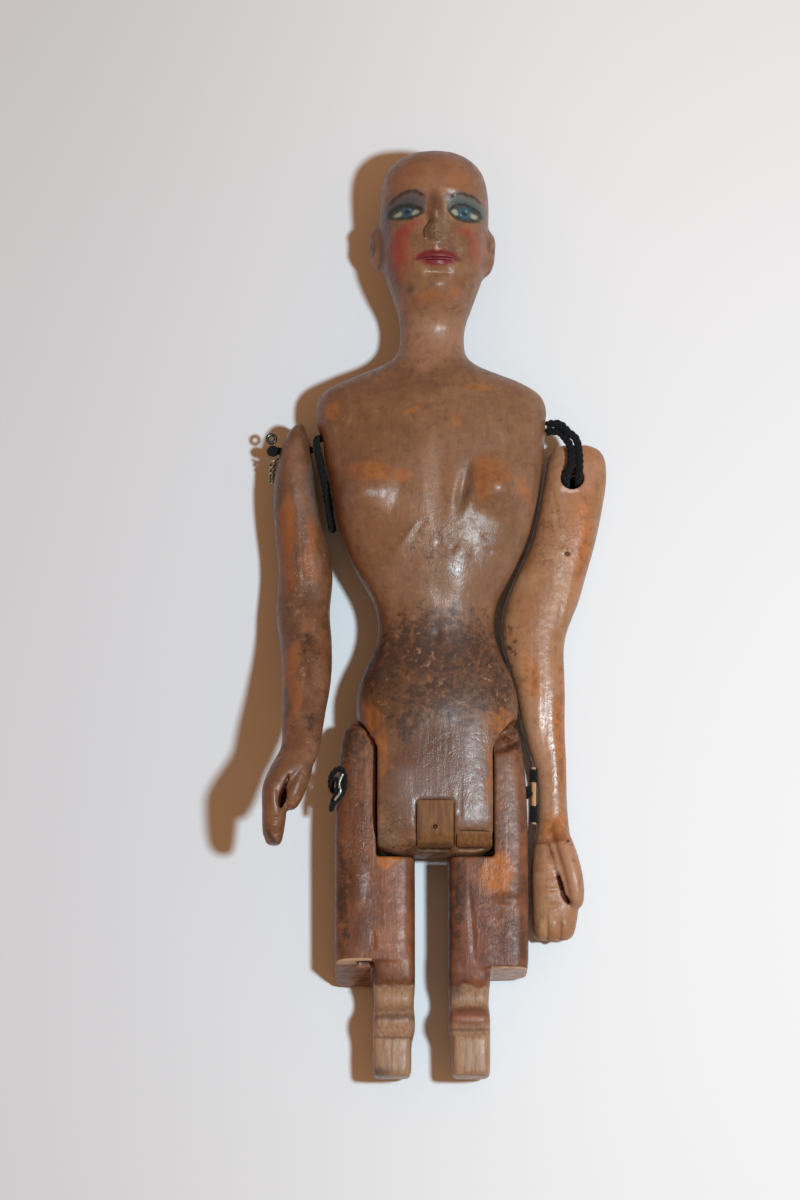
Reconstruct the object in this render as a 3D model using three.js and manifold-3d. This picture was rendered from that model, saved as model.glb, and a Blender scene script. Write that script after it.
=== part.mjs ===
// Jointed wooden doll, carved and painted, lying on its back.
// Millimetres. +Z points out of the chest, +Y to the crown and +X to the doll's own left side.
// The origin is the middle of the flat between the shoulder blades, where the doll lies on a table.
import * as THREE from "three";
import { mergeVertices } from "three/addons/utils/BufferGeometryUtils.js";
import Module from "manifold-3d";

const wasm = await Module();
wasm.setup();

// Lengths along the body
const headHeight = 41.4; // chin to crown
const neckLength = 18.5; // shoulder line to chin
const shoulderRise = 18; // origin to shoulder line
const waistDrop = 43; // origin to the narrowest part of the waist
const hipDrop = 20; // waist to the widest part of the hips
const hipAxisDrop = 21.7; // widest part of the hips to the hip cord
const thighLength = 44.8; // hip cord to the end of the outer half
const tongueLength = 25.5; // end of the outer half to the end of the knee tongue

// Widths and depths of the carved body
const headWidth = 27.8;
const headDepth = 30.8;
const neckWidth = 16;
const neckDepth = 14.6;
const shoulderWidth = 57.4;
const chestDepth = 27.4;
const waistWidth = 28.8;
const waistDepth = 19.8;
const hipWidth = 40.4;
const hipDepth = 25;
const blockWidth = 28.4; // hip block between the thighs
const neckBack = 5.6; // clear height of the nape over the table
const waistBack = 3.2; // clear height of the small of the back
const hipLean = 0.6; // hips carved a little to the doll's left
const backCut = 0.5; // depth of the flats on which the back rests

// Features of the head and the chest
const earHeight = 10.4;
const earWidth = 3.6;
const earDepth = 7;
const earLevel = 0.4; // share of the head's height, from the chin
const noseLength = 8.4;
const noseWidth = 5;
const noseRise = 3;
const noseLevel = 0.36;
const breastRadius = 10.4;
const breastRise = 1.9;
const breastSunk = 7;
const breastSpacing = 28.6;
const breastLevel = -10.2;
const breastShift = 0.9; // the chest was carved a little to the doll's left

// Cord, its bores and its fittings
const strandDiameter = 2;
const leftStrandDiameter = 1.8;
const hipStrandDiameter = 1.5;
const cordDiameter = 3.4;
const shoulderBore = 5;
const hipBore = 4.4;
const armBore = 5.8;
const rightBore = 4.2;
const pocketDiameter = 7;
const pocketDepth = 4.6;
const cordLevelRight = 4.5; // height of the shoulder bore at the right side
const cordLevelLeft = 7.9; // and at the left side, where it was drilled higher
const shoulderCordZ = 13;
const hipCordRise = 0.5; // hip cord in front of the middle of the hip block
const stubLength = 6; // cord that turns with the left arm, inside the bore
const fitGap = 0.3; // gap between touching pieces

// Arms
const leftArmLength = 123;
const rightArmLength = 111;
const armBreadth = 15.4; // broad face of the left upper arm
const armThickness = 12.4; // left upper arm, front to back
const rightArmBreadth = 14; // right elbow, seen from the front
const rightArmDepth = 17.6; // right upper arm, front to back
const armHoleDrop = 12.7; // left shoulder bore down to the left arm's hole
const cordRise = 14.2; // height of the left cord over the table
const rightHoleDrop = 2; // right shoulder bore down to the right arm's hole
const rightHoleZ = 10.6;
const knotReach = 1.4; // from the outside of the right arm to its knot
const armClearance = 0.5; // left arm beside the chest

// Thighs
const thighWidth = 20;
const thighDepth = 18;
const thighBack = 0.6; // clear height over the table
const hipSwell = 0.8; // the thigh is that much thicker at the hip
const thighGap = 8; // between the two thighs
const thighShift = -0.9; // both thighs hang a little to the doll's right
const tongueWidth = 10.4;
const lapRadius = 17.8; // rounded top of the outer half, about the hip cord
const lapInnerRadius = 13.4;
const blockRound = 3.8; // rounded bottom of the hip block beyond half its depth
const rightEndSlant = 5.6; // right outer end, longer at the back than at the front
const leftEndSlant = 1.6;
const kneePinBore = 2;
const kneePinRise = 6.8; // from the end of the tongue
const kneeHollow = 3.4;
const kneeBump = 0.6;
const tenonStep = 2;
const tenonInset = 0.9; // its inner face in from the tongue's
const tenonBack = 2; // clear height of the knee tongue over the table

// Patches and nails
const patchWidth = 9.2;
const patchHeight = 11.4;
const patchDepth = 8;
const patchRise = 1.6; // from the rounded bottom of the block
const glueWall = 0.6; // wood between the two patches
const sidePatchWidth = 8.8;
const sidePatchHeight = 3.8;
const nailShank = 0.7;
const nailHead = 1.3;
const nailHeadHeight = 0.35;
const nailLength = 5;
const wireDiameter = 0.7;
const ringDiameter = 3;
const ringWire = 0.95;
const knotSize = 3.2;
const hookLength = 5.4;
const hookSpread = 3.2; // width of its open upper end
const hookTurns = 2;
const pegDiameter = 1.1;
const pegLength = 14.3;
const pegRise = 6.3; // over the hip cord
const threadDiameter = 0.4;
const threadPitch = 0.9;
const lashingClearance = 0.12; // thread to peg
const upperTurns = 4;
const lowerTurns = 5;
const turnSteps = 24;
const seatGap = 0.12; // glue gap round a patch
const crownNailX = 0.05;
const nailClearance = 0.3;
const bradLength = 4;
const bradDrop = 6.6; // from the top of the front patch

const shoulderY = shoulderRise;
const chinY = shoulderY + neckLength;
const crownY = chinY + headHeight;
const waistY = -waistDrop;
const hipY = waistY - hipDrop;
const hipAxisY = hipY - hipAxisDrop;
const hipCordZ = hipDepth / 2 + hipCordRise;
const blockRadius = hipDepth / 2 + blockRound;
const outerEndY = hipAxisY - thighLength;
const tongueEndY = outerEndY - tongueLength;
const blockHalf = blockWidth / 2;
const blockBottomY = hipAxisY - blockRadius;
const patchTopY = blockBottomY + patchRise + patchHeight;
const patchFloor = hipDepth - patchDepth;
const glueLineX = patchWidth / 2;
const bradX = glueLineX - patchWidth / 2;
const bradY = patchTopY - bradDrop;
const leftHoleY = cordLevelLeft - armHoleDrop;
const rightHoleY = cordLevelRight - rightHoleDrop;

// Solids

function toSolid(geometry) {
  const bare = geometry.index ? geometry.toNonIndexed() : geometry.clone();
  bare.deleteAttribute("normal");
  bare.deleteAttribute("uv");
  const merged = mergeVertices(bare, 1e-4);
  return new wasm.Manifold(new wasm.Mesh({
    numProp: 3,
    vertProperties: new Float32Array(merged.attributes.position.array),
    triVerts: new Uint32Array(merged.index.array),
  }));
}

function toGeometry(solid) {
  const mesh = solid.getMesh();
  const geometry = new THREE.BufferGeometry();
  geometry.setAttribute("position", new THREE.BufferAttribute(new Float32Array(mesh.vertProperties), 3));
  geometry.setIndex(new THREE.BufferAttribute(new Uint32Array(mesh.triVerts), 1));
  geometry.computeVertexNormals();
  return geometry;
}

// One closed skin over rings of points that follow each other up the body, along +Y
function skin(rings) {
  const sides = rings[0].length;
  const points = rings.flat();
  const index = [];
  for (let ring = 0; ring < rings.length - 1; ring += 1) {
    for (let side = 0; side < sides; side += 1) {
      const a = ring * sides + side;
      const b = ring * sides + (side + 1) % sides;
      index.push(a, b + sides, b, a, a + sides, b + sides);
    }
  }
  const last = (rings.length - 1) * sides;
  for (let side = 1; side < sides - 1; side += 1) {
    index.push(0, side, side + 1);
    index.push(last, last + side + 1, last + side);
  }
  const geometry = new THREE.BufferGeometry();
  geometry.setFromPoints(points);
  geometry.setIndex(index);
  return geometry;
}

// A ring across the body: an ellipse that turns square as its squareness rises from 2
function ring({ y, x = 0, z, halfWidth, halfDepth, squareness = 2.3 }, sides) {
  const points = [];
  for (let side = 0; side < sides; side += 1) {
    const angle = (2 * Math.PI * (side + 0.5)) / sides;
    const across = Math.cos(angle);
    const up = Math.sin(angle);
    points.push(new THREE.Vector3(
      x + halfWidth * Math.sign(across) * Math.abs(across) ** (2 / squareness),
      y,
      z + halfDepth * Math.sign(up) * Math.abs(up) ** (2 / squareness),
    ));
  }
  return points;
}

function loft(stations, sides) {
  return toSolid(skin(stations.map((station) => ring(station, sides))));
}

function box(low, high) {
  const size = high.map((value, axis) => value - low[axis]);
  const geometry = new THREE.BoxGeometry(...size);
  geometry.translate(...low.map((value, axis) => value + size[axis] / 2));
  return toSolid(geometry);
}

// A round bar from one point to another
function bar(from, to, diameter, sides = 16) {
  const start = new THREE.Vector3(...from);
  const end = new THREE.Vector3(...to);
  const along = end.clone().sub(start);
  const geometry = new THREE.CylinderGeometry(diameter / 2, diameter / 2, along.length(), sides);
  geometry.applyQuaternion(new THREE.Quaternion().setFromUnitVectors(
    new THREE.Vector3(0, 1, 0),
    along.clone().normalize(),
  ));
  geometry.translate(...start.add(end).multiplyScalar(0.5).toArray());
  return toSolid(geometry);
}

// A round tube along a smooth curve through a few points
function tube(points, diameter, steps, sides = 8) {
  const curve = new THREE.CatmullRomCurve3(points.map((point) => new THREE.Vector3(...point)));
  const section = new THREE.Shape();
  section.absarc(0, 0, diameter / 2, 0, 2 * Math.PI, false);
  return toSolid(new THREE.ExtrudeGeometry(section, {
    steps,
    curveSegments: sides / 2,
    extrudePath: curve,
  }));
}

function ellipsoid(centre, half, across = 14, up = 10) {
  const geometry = new THREE.SphereGeometry(1, across, up);
  geometry.scale(...half);
  geometry.translate(...centre);
  return toSolid(geometry);
}

// A solid turned about a line along X: its outline gives the radius at each place across the body
function turnedAboutX(outline, y, z, sides = 48) {
  const points = outline.map(([x, radius]) => new THREE.Vector2(radius, x));
  const geometry = new THREE.LatheGeometry(points, sides);
  geometry.rotateZ(-Math.PI / 2);
  geometry.translate(0, y, z);
  return toSolid(geometry);
}

const doll = new THREE.Group();

function addPiece(name, solid, look) {
  const mesh = new THREE.Mesh(toGeometry(solid), new THREE.MeshStandardMaterial(look));
  mesh.name = name;
  doll.add(mesh);
}

const looks = {
  skin: { color: 0x8f6446, roughness: 0.42, metalness: 0 },
  thigh: { color: 0x7f4f38, roughness: 0.5, metalness: 0 },
  bareWood: { color: 0xa88c6c, roughness: 0.75, metalness: 0 },
  cord: { color: 0x121214, roughness: 0.85, metalness: 0 },
  silver: { color: 0xb9b2a4, roughness: 0.3, metalness: 1 },
  brass: { color: 0xa9925c, roughness: 0.35, metalness: 1 },
  darkMetal: { color: 0x2c2a28, roughness: 0.3, metalness: 1 },
  iron: { color: 0x2b2320, roughness: 0.6, metalness: 1 },
  bone: { color: 0xb79468, roughness: 0.6, metalness: 0 },
};

// Carved body

function bodyStation(y, width, back, front, squareness, lean = 0) {
  return {
    y,
    x: lean,
    z: (front + back) / 2,
    halfWidth: width / 2,
    halfDepth: (front - back) / 2,
    squareness,
  };
}

// Head from the crown down: share of its height, of its width, of its depth behind and in front
const headShape = [
  [1, 0.36, 0.34, 0.68],
  [0.985, 0.54, 0.24, 0.78],
  [0.95, 0.72, 0.13, 0.88],
  [0.89, 0.875, 0.05, 0.96],
  [0.81, 0.97, 0.02, 1],
  [0.7, 1, 0, 1.01],
  [0.58, 1, 0, 0.985],
  [0.46, 0.98, 0.02, 0.965],
  [0.34, 0.955, 0.06, 0.975],
  [0.23, 0.91, 0.12, 0.97],
  [0.15, 0.82, 0.17, 0.95],
  [0.09, 0.75, 0.19, 0.93],
  [0.03, 0.68, 0.195, 0.88],
];

function headStations() {
  return headShape.map(([level, wide, behind, before]) => bodyStation(
    chinY + level * headHeight,
    wide * headWidth,
    behind * headDepth + fitGap,
    before * headDepth,
    2.15,
  ));
}

function neckStations() {
  const front = neckBack + neckDepth;
  return [
    bodyStation(chinY - 0.06 * neckLength, 1.06 * neckWidth, neckBack, front + 1.6, 2.1, -0.3),
    bodyStation(chinY - 0.25 * neckLength, neckWidth, neckBack, front, 2.1, -0.5),
    bodyStation(chinY - 0.48 * neckLength, 1.03 * neckWidth, neckBack, front, 2.1, -0.6),
    bodyStation(chinY - 0.6 * neckLength, 1.18 * neckWidth, 0.9 * neckBack, front + 0.4, 2.1, -0.9),
  ];
}

function trunkStations() {
  const flat = -backCut;
  const chest = chestDepth;
  const wide = shoulderWidth;
  const span = shoulderY - waistY;
  const at = (share) => waistY + share * span;
  return [
    bodyStation(at(1.085), 0.45 * wide, 4, 0.77 * chest, 2.1, -1.1),
    bodyStation(at(1.043), 0.69 * wide, 2.6, 0.81 * chest, 2.2, -1.3),
    bodyStation(at(1), 0.9 * wide, 1.4, 0.86 * chest, 2.3, -1),
    bodyStation(at(0.957), 0.99 * wide, 0.4, 0.9 * chest, 2.4, -0.7),
    bodyStation(at(0.872), wide, flat, 0.94 * chest, 2.5, -0.5),
    bodyStation(at(0.787), 0.985 * wide, flat, 0.97 * chest, 2.5, -0.3),
    bodyStation(at(0.7), 0.955 * wide, flat, 0.99 * chest, 2.5),
    bodyStation(at(0.616), 0.924 * wide, flat, chest, 2.5, 0.2),
    bodyStation(at(0.532), 0.892 * wide, 0, chest, 2.5, 0.3),
    bodyStation(at(0.448), 0.861 * wide, 0.8, 0.985 * chest, 2.4, 0.2),
    bodyStation(at(0.363), 0.812 * wide, 1.6, 0.96 * chest, 2.4, 0.2),
    bodyStation(at(0.28), 0.746 * wide, 2.3, 0.93 * chest, 2.3),
    bodyStation(at(0.197), 0.655 * wide, 2.8, 0.89 * chest, 2.3),
    bodyStation(at(0.115), 0.554 * wide, waistBack, 0.86 * chest, 2.2, 0.2),
    bodyStation(at(0.05), waistWidth, waistBack, waistBack + waistDepth, 2.2, 0.3),
  ];
}

function hipStations() {
  const at = (share) => waistY - share * hipDrop;
  const front = waistBack + waistDepth;
  return [
    bodyStation(at(0.1), waistWidth, waistBack - 0.3, front - 0.2, 2.2, 0.4),
    bodyStation(at(0.28), 0.76 * hipWidth, 2.4, front, 2.2, 0.5),
    bodyStation(at(0.41), 0.81 * hipWidth, 1.6, 0.93 * hipDepth, 2.3, hipLean),
    bodyStation(at(0.54), 0.88 * hipWidth, 0.8, 0.95 * hipDepth, 2.3, hipLean),
    bodyStation(at(0.68), 0.94 * hipWidth, 0, 0.97 * hipDepth, 2.4, hipLean),
    bodyStation(at(0.9), hipWidth, -backCut, 0.99 * hipDepth, 2.5, hipLean),
    bodyStation(at(1.12), hipWidth, -backCut, hipDepth, 2.6, hipLean),
    bodyStation(hipY - 0.3 * hipAxisDrop, 0.97 * hipWidth, -backCut, hipDepth, 2.8, hipLean),
    bodyStation(hipY - 0.6 * hipAxisDrop, 0.95 * hipWidth, 0, 0.99 * hipDepth, 3, 0),
    bodyStation(hipAxisY, 0.95 * hipWidth, 0.4, 0.98 * hipDepth, 3.4, 0),
    bodyStation(hipAxisY - 1.1 * blockRadius, 0.95 * hipWidth, 0.6, 0.97 * hipDepth, 3.6, 0),
  ];
}

// Turned hollow over each thigh's rounded lap, wider than the lap by one gap
function lapOutline(side, grow) {
  const inner = blockHalf + (grow ? 0 : fitGap);
  const outer = thighOuter(side);
  const step = (outer - inner) / 4;
  return [
    [inner, 0],
    [inner, lapInnerRadius + grow],
    [inner + 0.5 * step, lapInnerRadius + 0.28 * (lapRadius - lapInnerRadius) + grow],
    [inner + step, lapInnerRadius + 0.55 * (lapRadius - lapInnerRadius) + grow],
    [inner + 2 * step, lapInnerRadius + 0.88 * (lapRadius - lapInnerRadius) + grow],
    [inner + 2.8 * step, lapRadius + grow],
    [outer + 2 * grow, lapRadius + grow],
    [outer + 2 * grow, 0],
  ].map(([x, radius]) => [side * x, radius]);
}

function thighInner(side) {
  return thighGap / 2 + side * thighShift;
}

function thighOuter(side) {
  return thighInner(side) + thighWidth;
}

function lapSolid(side, grow) {
  const outline = lapOutline(side, grow);
  return turnedAboutX(side > 0 ? outline : outline.reverse(), hipAxisY, hipCordZ);
}

function bodyStations() {
  return [
    ...hipStations().reverse(),
    ...trunkStations().reverse(),
    ...neckStations().reverse(),
    ...headStations().reverse(),
  ];
}

// How far the body or a thigh reaches to one side at a height, for what hangs beside it
function reachAt(y, side) {
  const stations = bodyStations();
  const above = Math.max(1, stations.findIndex((station) => station.y >= y));
  const [low, high] = [stations[above - 1], stations[above]];
  const share = THREE.MathUtils.clamp((y - low.y) / (high.y - low.y), 0, 1);
  const edge = (station) => side * station.x + station.halfWidth;
  const body = THREE.MathUtils.lerp(edge(low), edge(high), share);
  return y < hipAxisY + lapRadius ? Math.max(thighOuter(side), y > hipAxisY ? body : 0) : body;
}

// The carved body before its patches are let in
function wholeBlock() {
  let body = loft(bodyStations(), 32);
  const earY = chinY + earLevel * headHeight;
  for (const side of [-1, 1]) {
    body = body.add(ellipsoid(
      [side * 0.49 * headWidth, earY, 0.47 * headDepth],
      [earWidth / 2 + 0.4, earHeight / 2, earDepth / 2],
    ));
    body = body.add(ellipsoid(
      [side * breastSpacing / 2 + breastShift, breastLevel, chestDepth - breastSunk],
      [breastRadius, 0.95 * breastRadius, breastRise + breastSunk],
      20,
      14,
    ));
  }
  body = body.add(nose());
  const clear = hipWidth;
  for (const side of [-1, 1]) {
    const low = [side > 0 ? blockHalf : -clear, hipAxisY - clear, -clear];
    const high = [side > 0 ? clear : -blockHalf, hipAxisY, clear + hipDepth];
    body = body.subtract(box(low, high)).subtract(lapSolid(side, fitGap + 0.05));
  }
  body = body.subtract(outsideBlockRadius());
  const reach = 2 * (crownY - blockBottomY);
  body = body.subtract(box([-reach, -reach, -reach], [reach, reach, 0]));
  return body.subtract(shoulderBoreSolid(shoulderBore, 1)).subtract(hipBoreSolid(hipBore, 1));
}

function nose() {
  const tipY = chinY + noseLevel * headHeight;
  const face = 0.95 * headDepth;
  return loft([
    { y: tipY - 0.1 * noseLength, z: face, halfWidth: 0.34 * noseWidth, halfDepth: 0.4 * noseRise },
    { y: tipY, z: face, halfWidth: 0.5 * noseWidth, halfDepth: noseRise },
    { y: tipY + 0.3 * noseLength, z: face, halfWidth: 0.36 * noseWidth, halfDepth: 0.85 * noseRise },
    { y: tipY + noseLength, z: face, halfWidth: 0.24 * noseWidth, halfDepth: 0.35 * noseRise },
  ], 10);
}

// All that lies lower than the hip block's rounded bottom
function outsideBlockRadius() {
  const reach = hipWidth;
  const slab = box([-reach, hipAxisY - reach, -reach], [reach, hipAxisY, hipDepth + reach]);
  const round = bar([-reach - 1, hipAxisY, hipCordZ], [reach + 1, hipAxisY, hipCordZ], 2 * blockRadius, 64);
  return slab.subtract(round).subtract(box(
    [-reach, hipAxisY - 0.6 * blockRadius, -reach],
    [reach, hipAxisY + 1, hipDepth + reach],
  ));
}

function shoulderBoreSolid(diameter, over) {
  const half = shoulderWidth / 2;
  const slope = (cordLevelLeft - cordLevelRight) / shoulderWidth;
  return bar(
    [-half - over, cordLevelRight - slope * over, shoulderCordZ],
    [half + over, cordLevelLeft + slope * over, shoulderCordZ],
    diameter,
  );
}

function hipBoreSolid(diameter, over) {
  return bar([-blockHalf - over, hipAxisY, hipCordZ], [blockHalf + over, hipAxisY, hipCordZ], diameter);
}

// A let-in patch is the block's own surface inside a square seat
function patchSeat(gap) {
  return box(
    [glueLineX - patchWidth + gap, patchTopY - patchHeight + gap, patchFloor + gap],
    [glueLineX - gap, patchTopY - gap, hipDepth + 2],
  );
}

function sidePatchSeat(gap) {
  const left = glueLineX + glueWall;
  const bottom = patchTopY - patchHeight;
  return box(
    [left + gap, bottom + gap, patchFloor + gap],
    [left + sidePatchWidth - gap, bottom + sidePatchHeight - gap, hipDepth + 2],
  );
}

function crownNailHole() {
  const [x, z] = [crownNailX, headDepth / 2];
  return bar([x, crownY - nailLength, z], [x, crownY + nailLength, z], nailShank + 2 * nailClearance, 10);
}

function bradHole() {
  const floor = patchFloor + patchDepth / 4;
  const mouth = hipDepth + bradLength;
  return bar([bradX, bradY, floor], [bradX, bradY, mouth], nailShank + 2 * nailClearance, 10);
}

function nail(head, point) {
  const direction = new THREE.Vector3(...point).sub(new THREE.Vector3(...head)).normalize();
  const neck = new THREE.Vector3(...head).addScaledVector(direction, nailHeadHeight);
  return bar(head, neck.toArray(), nailHead, 10).add(bar(head, point, nailShank, 8));
}

function addBody() {
  const block = wholeBlock();
  const seats = patchSeat(0).add(sidePatchSeat(0));
  addPiece("torso_head", block.subtract(seats).subtract(crownNailHole()), looks.skin);
  addPiece("pelvis_front_patch", block.intersect(patchSeat(seatGap)).subtract(bradHole()), looks.bareWood);
  addPiece("pelvis_side_patch", block.intersect(sidePatchSeat(seatGap)), looks.bareWood);
  const point = patchFloor + patchDepth / 4 + nailClearance;
  const brad = bar([bradX, bradY, point], [bradX, bradY, point + bradLength], nailShank, 8);
  addPiece("patch_brad", brad, looks.iron);
  const crown = [crownNailX, crownY + nailHeadHeight, headDepth / 2];
  const tip = [crownNailX, crownY - nailLength + nailClearance, headDepth / 2];
  addPiece("crown_nail", nail(crown, tip), looks.iron);
}

// Cord through the body, ending flush inside its bores
function addCores() {
  const core = shoulderBoreSolid(cordDiameter, -1.6);
  const [split, reach] = [shoulderWidth / 2 - stubLength, shoulderWidth];
  const stub = box([split + fitGap / 2, -reach, -reach], [reach, reach, reach]);
  const rest = box([-reach, -reach, -reach], [split - fitGap / 2, reach, reach]);
  addPiece("shoulder_cord_core", core.intersect(rest), looks.cord);
  addPiece("left_cord_stub", core.intersect(stub), looks.cord);
  addPiece("hip_cord_core", hipBoreSolid(cordDiameter, -fitGap), looks.cord);
}

// Left arm, lying flat with its broad inner face up

// Each station: height, clearance to the body, width, underside and top over the table
const leftArmShape = [
  [-0.982, 1.8, 8.8, 2.2, 7],
  [-0.965, 0.9, 11, 1, 9.2],
  [-0.91, 0.7, 12, 0.4, 10.6],
  [-0.865, 0.7, 12.8, 0.4, 11],
  [-0.825, 0.8, 12.1, 0.6, 11],
  [-0.785, 1.2, 9.9, 0.9, 10],
  [-0.76, 2.3, 8, 1.3, 9.2],
  [-0.7, 2.4, 7.5, 1.2, 9.2],
  [-0.645, 2.3, 7.6, 1, 9.8],
  [-0.6, 0.5, 9.3, 0.8, 10.3],
  [-0.54, 0.5, 11.3, 0.6, 11],
  [-0.46, 0.5, 12.9, 0.4, 11.8],
  [-0.385, 1.1, 15.5, 0.3, 12.4],
  [-0.335, 1.7, 17.4, 0.2, 12.6],
  [-0.295, 1.5, 18.6, 0.2, 12.6],
  [-0.255, 0.7, 18.2, 0.2, 12.6],
  [-0.215, 0.5, 17.3, 0.2, 12.7],
  [-0.17, 0.5, 16.5, 0.2, 12.8],
  [-0.13, 0.5, 16.4, 0.2, 12.8],
  [-0.085, 0.5, 16.3, 0.2, 12.8],
  [-0.04, 0.6, 16.3, 0.2, 12.7],
  [0, 0.7, 15.6, 0.4, 12.6],
  [0.025, 1.4, 13.5, 1, 12.1],
  [0.037, 3.2, 8.8, 2.4, 10.8],
];
const leftShapeBreadth = 15.4; // upper arm's breadth and thickness in this list
const leftShapeThickness = 12.4;

function leftArmStation([level, clearance, width, under, top]) {
  const y = level * leftArmLength;
  const broad = armBreadth / leftShapeBreadth;
  const thick = armThickness / leftShapeThickness;
  const inner = reachAt(y, 1) + clearance * broad;
  return {
    y,
    x: inner + width * broad / 2,
    z: (under + top) / 2 * thick,
    halfWidth: width * broad / 2,
    halfDepth: (top - under) / 2 * thick,
    squareness: 2.7,
  };
}

const leftHoleX = reachAt(leftHoleY, 1) + armClearance + 0.48 * armBreadth;

function addLeftArm() {
  let arm = loft(leftArmShape.map(leftArmStation), 16);
  arm = arm.subtract(bar([leftHoleX, leftHoleY, -1], [leftHoleX, leftHoleY, 20], armBore));
  arm = arm.subtract(bar([leftHoleX, leftHoleY, -1], [leftHoleX, leftHoleY, pocketDepth], pocketDiameter));
  const wrist = leftArmStation(leftArmShape[4]);
  const thumbTop = wrist.z + wrist.halfDepth;
  const thumbX = wrist.x + 0.28 * wrist.halfWidth;
  arm = arm.add(loft([
    { y: wrist.y - 5.6, x: thumbX + 3.4, z: thumbTop - 2.4, halfWidth: 1.3, halfDepth: 1.6 },
    { y: wrist.y - 3, x: thumbX + 3.1, z: thumbTop - 2, halfWidth: 2, halfDepth: 2.6 },
    { y: wrist.y + 1.5, x: thumbX + 2, z: thumbTop - 2, halfWidth: 2.1, halfDepth: 2.6 },
    { y: wrist.y + 6, x: thumbX + 0.4, z: thumbTop - 2.8, halfWidth: 1.6, halfDepth: 2 },
  ], 8));
  addPiece("left_arm", arm, looks.skin);
}

function addLeftCord() {
  const mouth = shoulderWidth / 2 - 0.3;
  const [x, y, z] = [leftHoleX, leftHoleY, cordRise];
  const front = [
    [mouth, cordLevelLeft + 0.7, shoulderCordZ + 0.8],
    [mouth + 1.7, cordLevelLeft + 0.8, shoulderCordZ + 1.6],
    [mouth + 3.4, cordLevelLeft + 0.4, z + 0.8],
    [mouth + 5.2, cordLevelLeft - 1.4, z + 0.9],
    [x + 1, y + 9.3, z + 0.8],
    [x + 1.75, y + 5.6, z + 0.5],
    [x + 1.8, y + 2.6, z + 0.3],
    [x + 1.65, y + 0.3, z - 1.2],
    [x + 1.5, y - 0.4, z - 4.5],
    [x + 1.2, y, pocketDepth + 0.5],
  ];
  const back = [
    [mouth, cordLevelLeft - 0.75, shoulderCordZ - 0.75],
    [mouth + 1.7, cordLevelLeft - 0.8, shoulderCordZ + 0.1],
    [mouth + 3, cordLevelLeft - 1, z - 0.8],
    [mouth + 4.4, cordLevelLeft - 2.5, z - 0.7],
    [x - 0.5, y + 8, z - 0.6],
    [x - 0.2, y + 5.2, z - 0.1],
    [x - 0.4, y + 3.2, z],
    [x - 1.2, y + 1.2, z - 0.5],
    [x - 1.6, y + 0.1, z - 2],
    [x - 1.45, y - 0.3, z - 5],
    [x - 1.2, y, pocketDepth + 0.5],
  ];
  addPiece("left_cord_front_strand", tube(front, leftStrandDiameter, 26), looks.cord);
  addPiece("left_cord_back_strand", tube(back, leftStrandDiameter, 26), looks.cord);
  const knot = pocketDiameter / 2 - 0.6;
  const middle = pocketDepth / 2 + 0.3;
  addPiece(
    "left_cord_knot",
    knotSolid([leftHoleX, leftHoleY, middle], [knot, knot, pocketDepth / 2 - 0.4]),
    looks.cord,
  );
}

// A tight knot: a ball with one turn of the strand round it
function knotSolid(centre, half) {
  const turn = new THREE.TorusGeometry(0.74, 0.24, 6, 14);
  turn.rotateX(0.5);
  turn.scale(...half);
  turn.translate(...centre);
  return ellipsoid(centre, half.map((value) => 0.86 * value), 12, 8).add(toSolid(turn));
}

// Right arm, edge on, with its forearm raised

// Each station: height, clearance to the body, breadth seen from the front, height over the table, depth
const rightArmShape = [
  [-0.905, 13.6, 1.2, 31.4, 3],
  [-0.897, 12.9, 2.6, 31.6, 6],
  [-0.885, 12.4, 3.6, 32, 8],
  [-0.86, 11.5, 5.2, 32.6, 9.6],
  [-0.81, 7.6, 9.8, 33, 10.4],
  [-0.765, 5.4, 11.8, 33, 10.6],
  [-0.725, 3.8, 11.4, 32, 10],
  [-0.7, 3.4, 9.6, 31, 9.6],
  [-0.68, 3.2, 9.2, 29.8, 9.8],
  [-0.62, 2.3, 10.6, 26.2, 11.2],
  [-0.52, 6.6, 12.4, 19.8, 12.8],
  [-0.42, 11, 13.2, 13.4, 14.4],
  [-0.37, 12.1, 13.6, 10.4, 15.6],
  [-0.325, 10.3, 13.8, 8.8, 16],
  [-0.25, 4.6, 14, 8.6, 16.6],
  [-0.18, 3.5, 13.3, 8.8, 17.2],
  [-0.085, 3.7, 11.5, 9, 17.6],
  [-0.04, 3.6, 9.7, 9, 17.6],
  [0.03, 3.1, 6.1, 9, 16.8],
  [0.054, 3.3, 4.2, 9, 15.2],
  [0.072, 3.3, 2.4, 9.5, 13],
  [0.084, 3.3, 1, 10, 8],
];
const rightShapeBreadth = 14; // elbow's breadth and upper arm's depth in this list
const rightShapeDepth = 17.6;

function rightArmStation([level, clearance, breadth, middle, depth]) {
  const y = level * rightArmLength;
  const broad = rightArmBreadth / rightShapeBreadth;
  const deep = rightArmDepth / rightShapeDepth;
  return {
    y,
    x: -(reachAt(y, -1) + (clearance + breadth / 2) * broad),
    z: middle * deep,
    halfWidth: breadth * broad / 2,
    halfDepth: depth * deep / 2,
    squareness: 2.4,
  };
}

function addRightArm() {
  let arm = loft(rightArmShape.map(rightArmStation), 16);
  const far = -shoulderWidth;
  const near = -reachAt(rightHoleY, -1);
  arm = arm.subtract(bar([far, rightHoleY, rightHoleZ], [near, rightHoleY, rightHoleZ], rightBore));
  addPiece("right_arm", arm, looks.skin);
}

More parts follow.
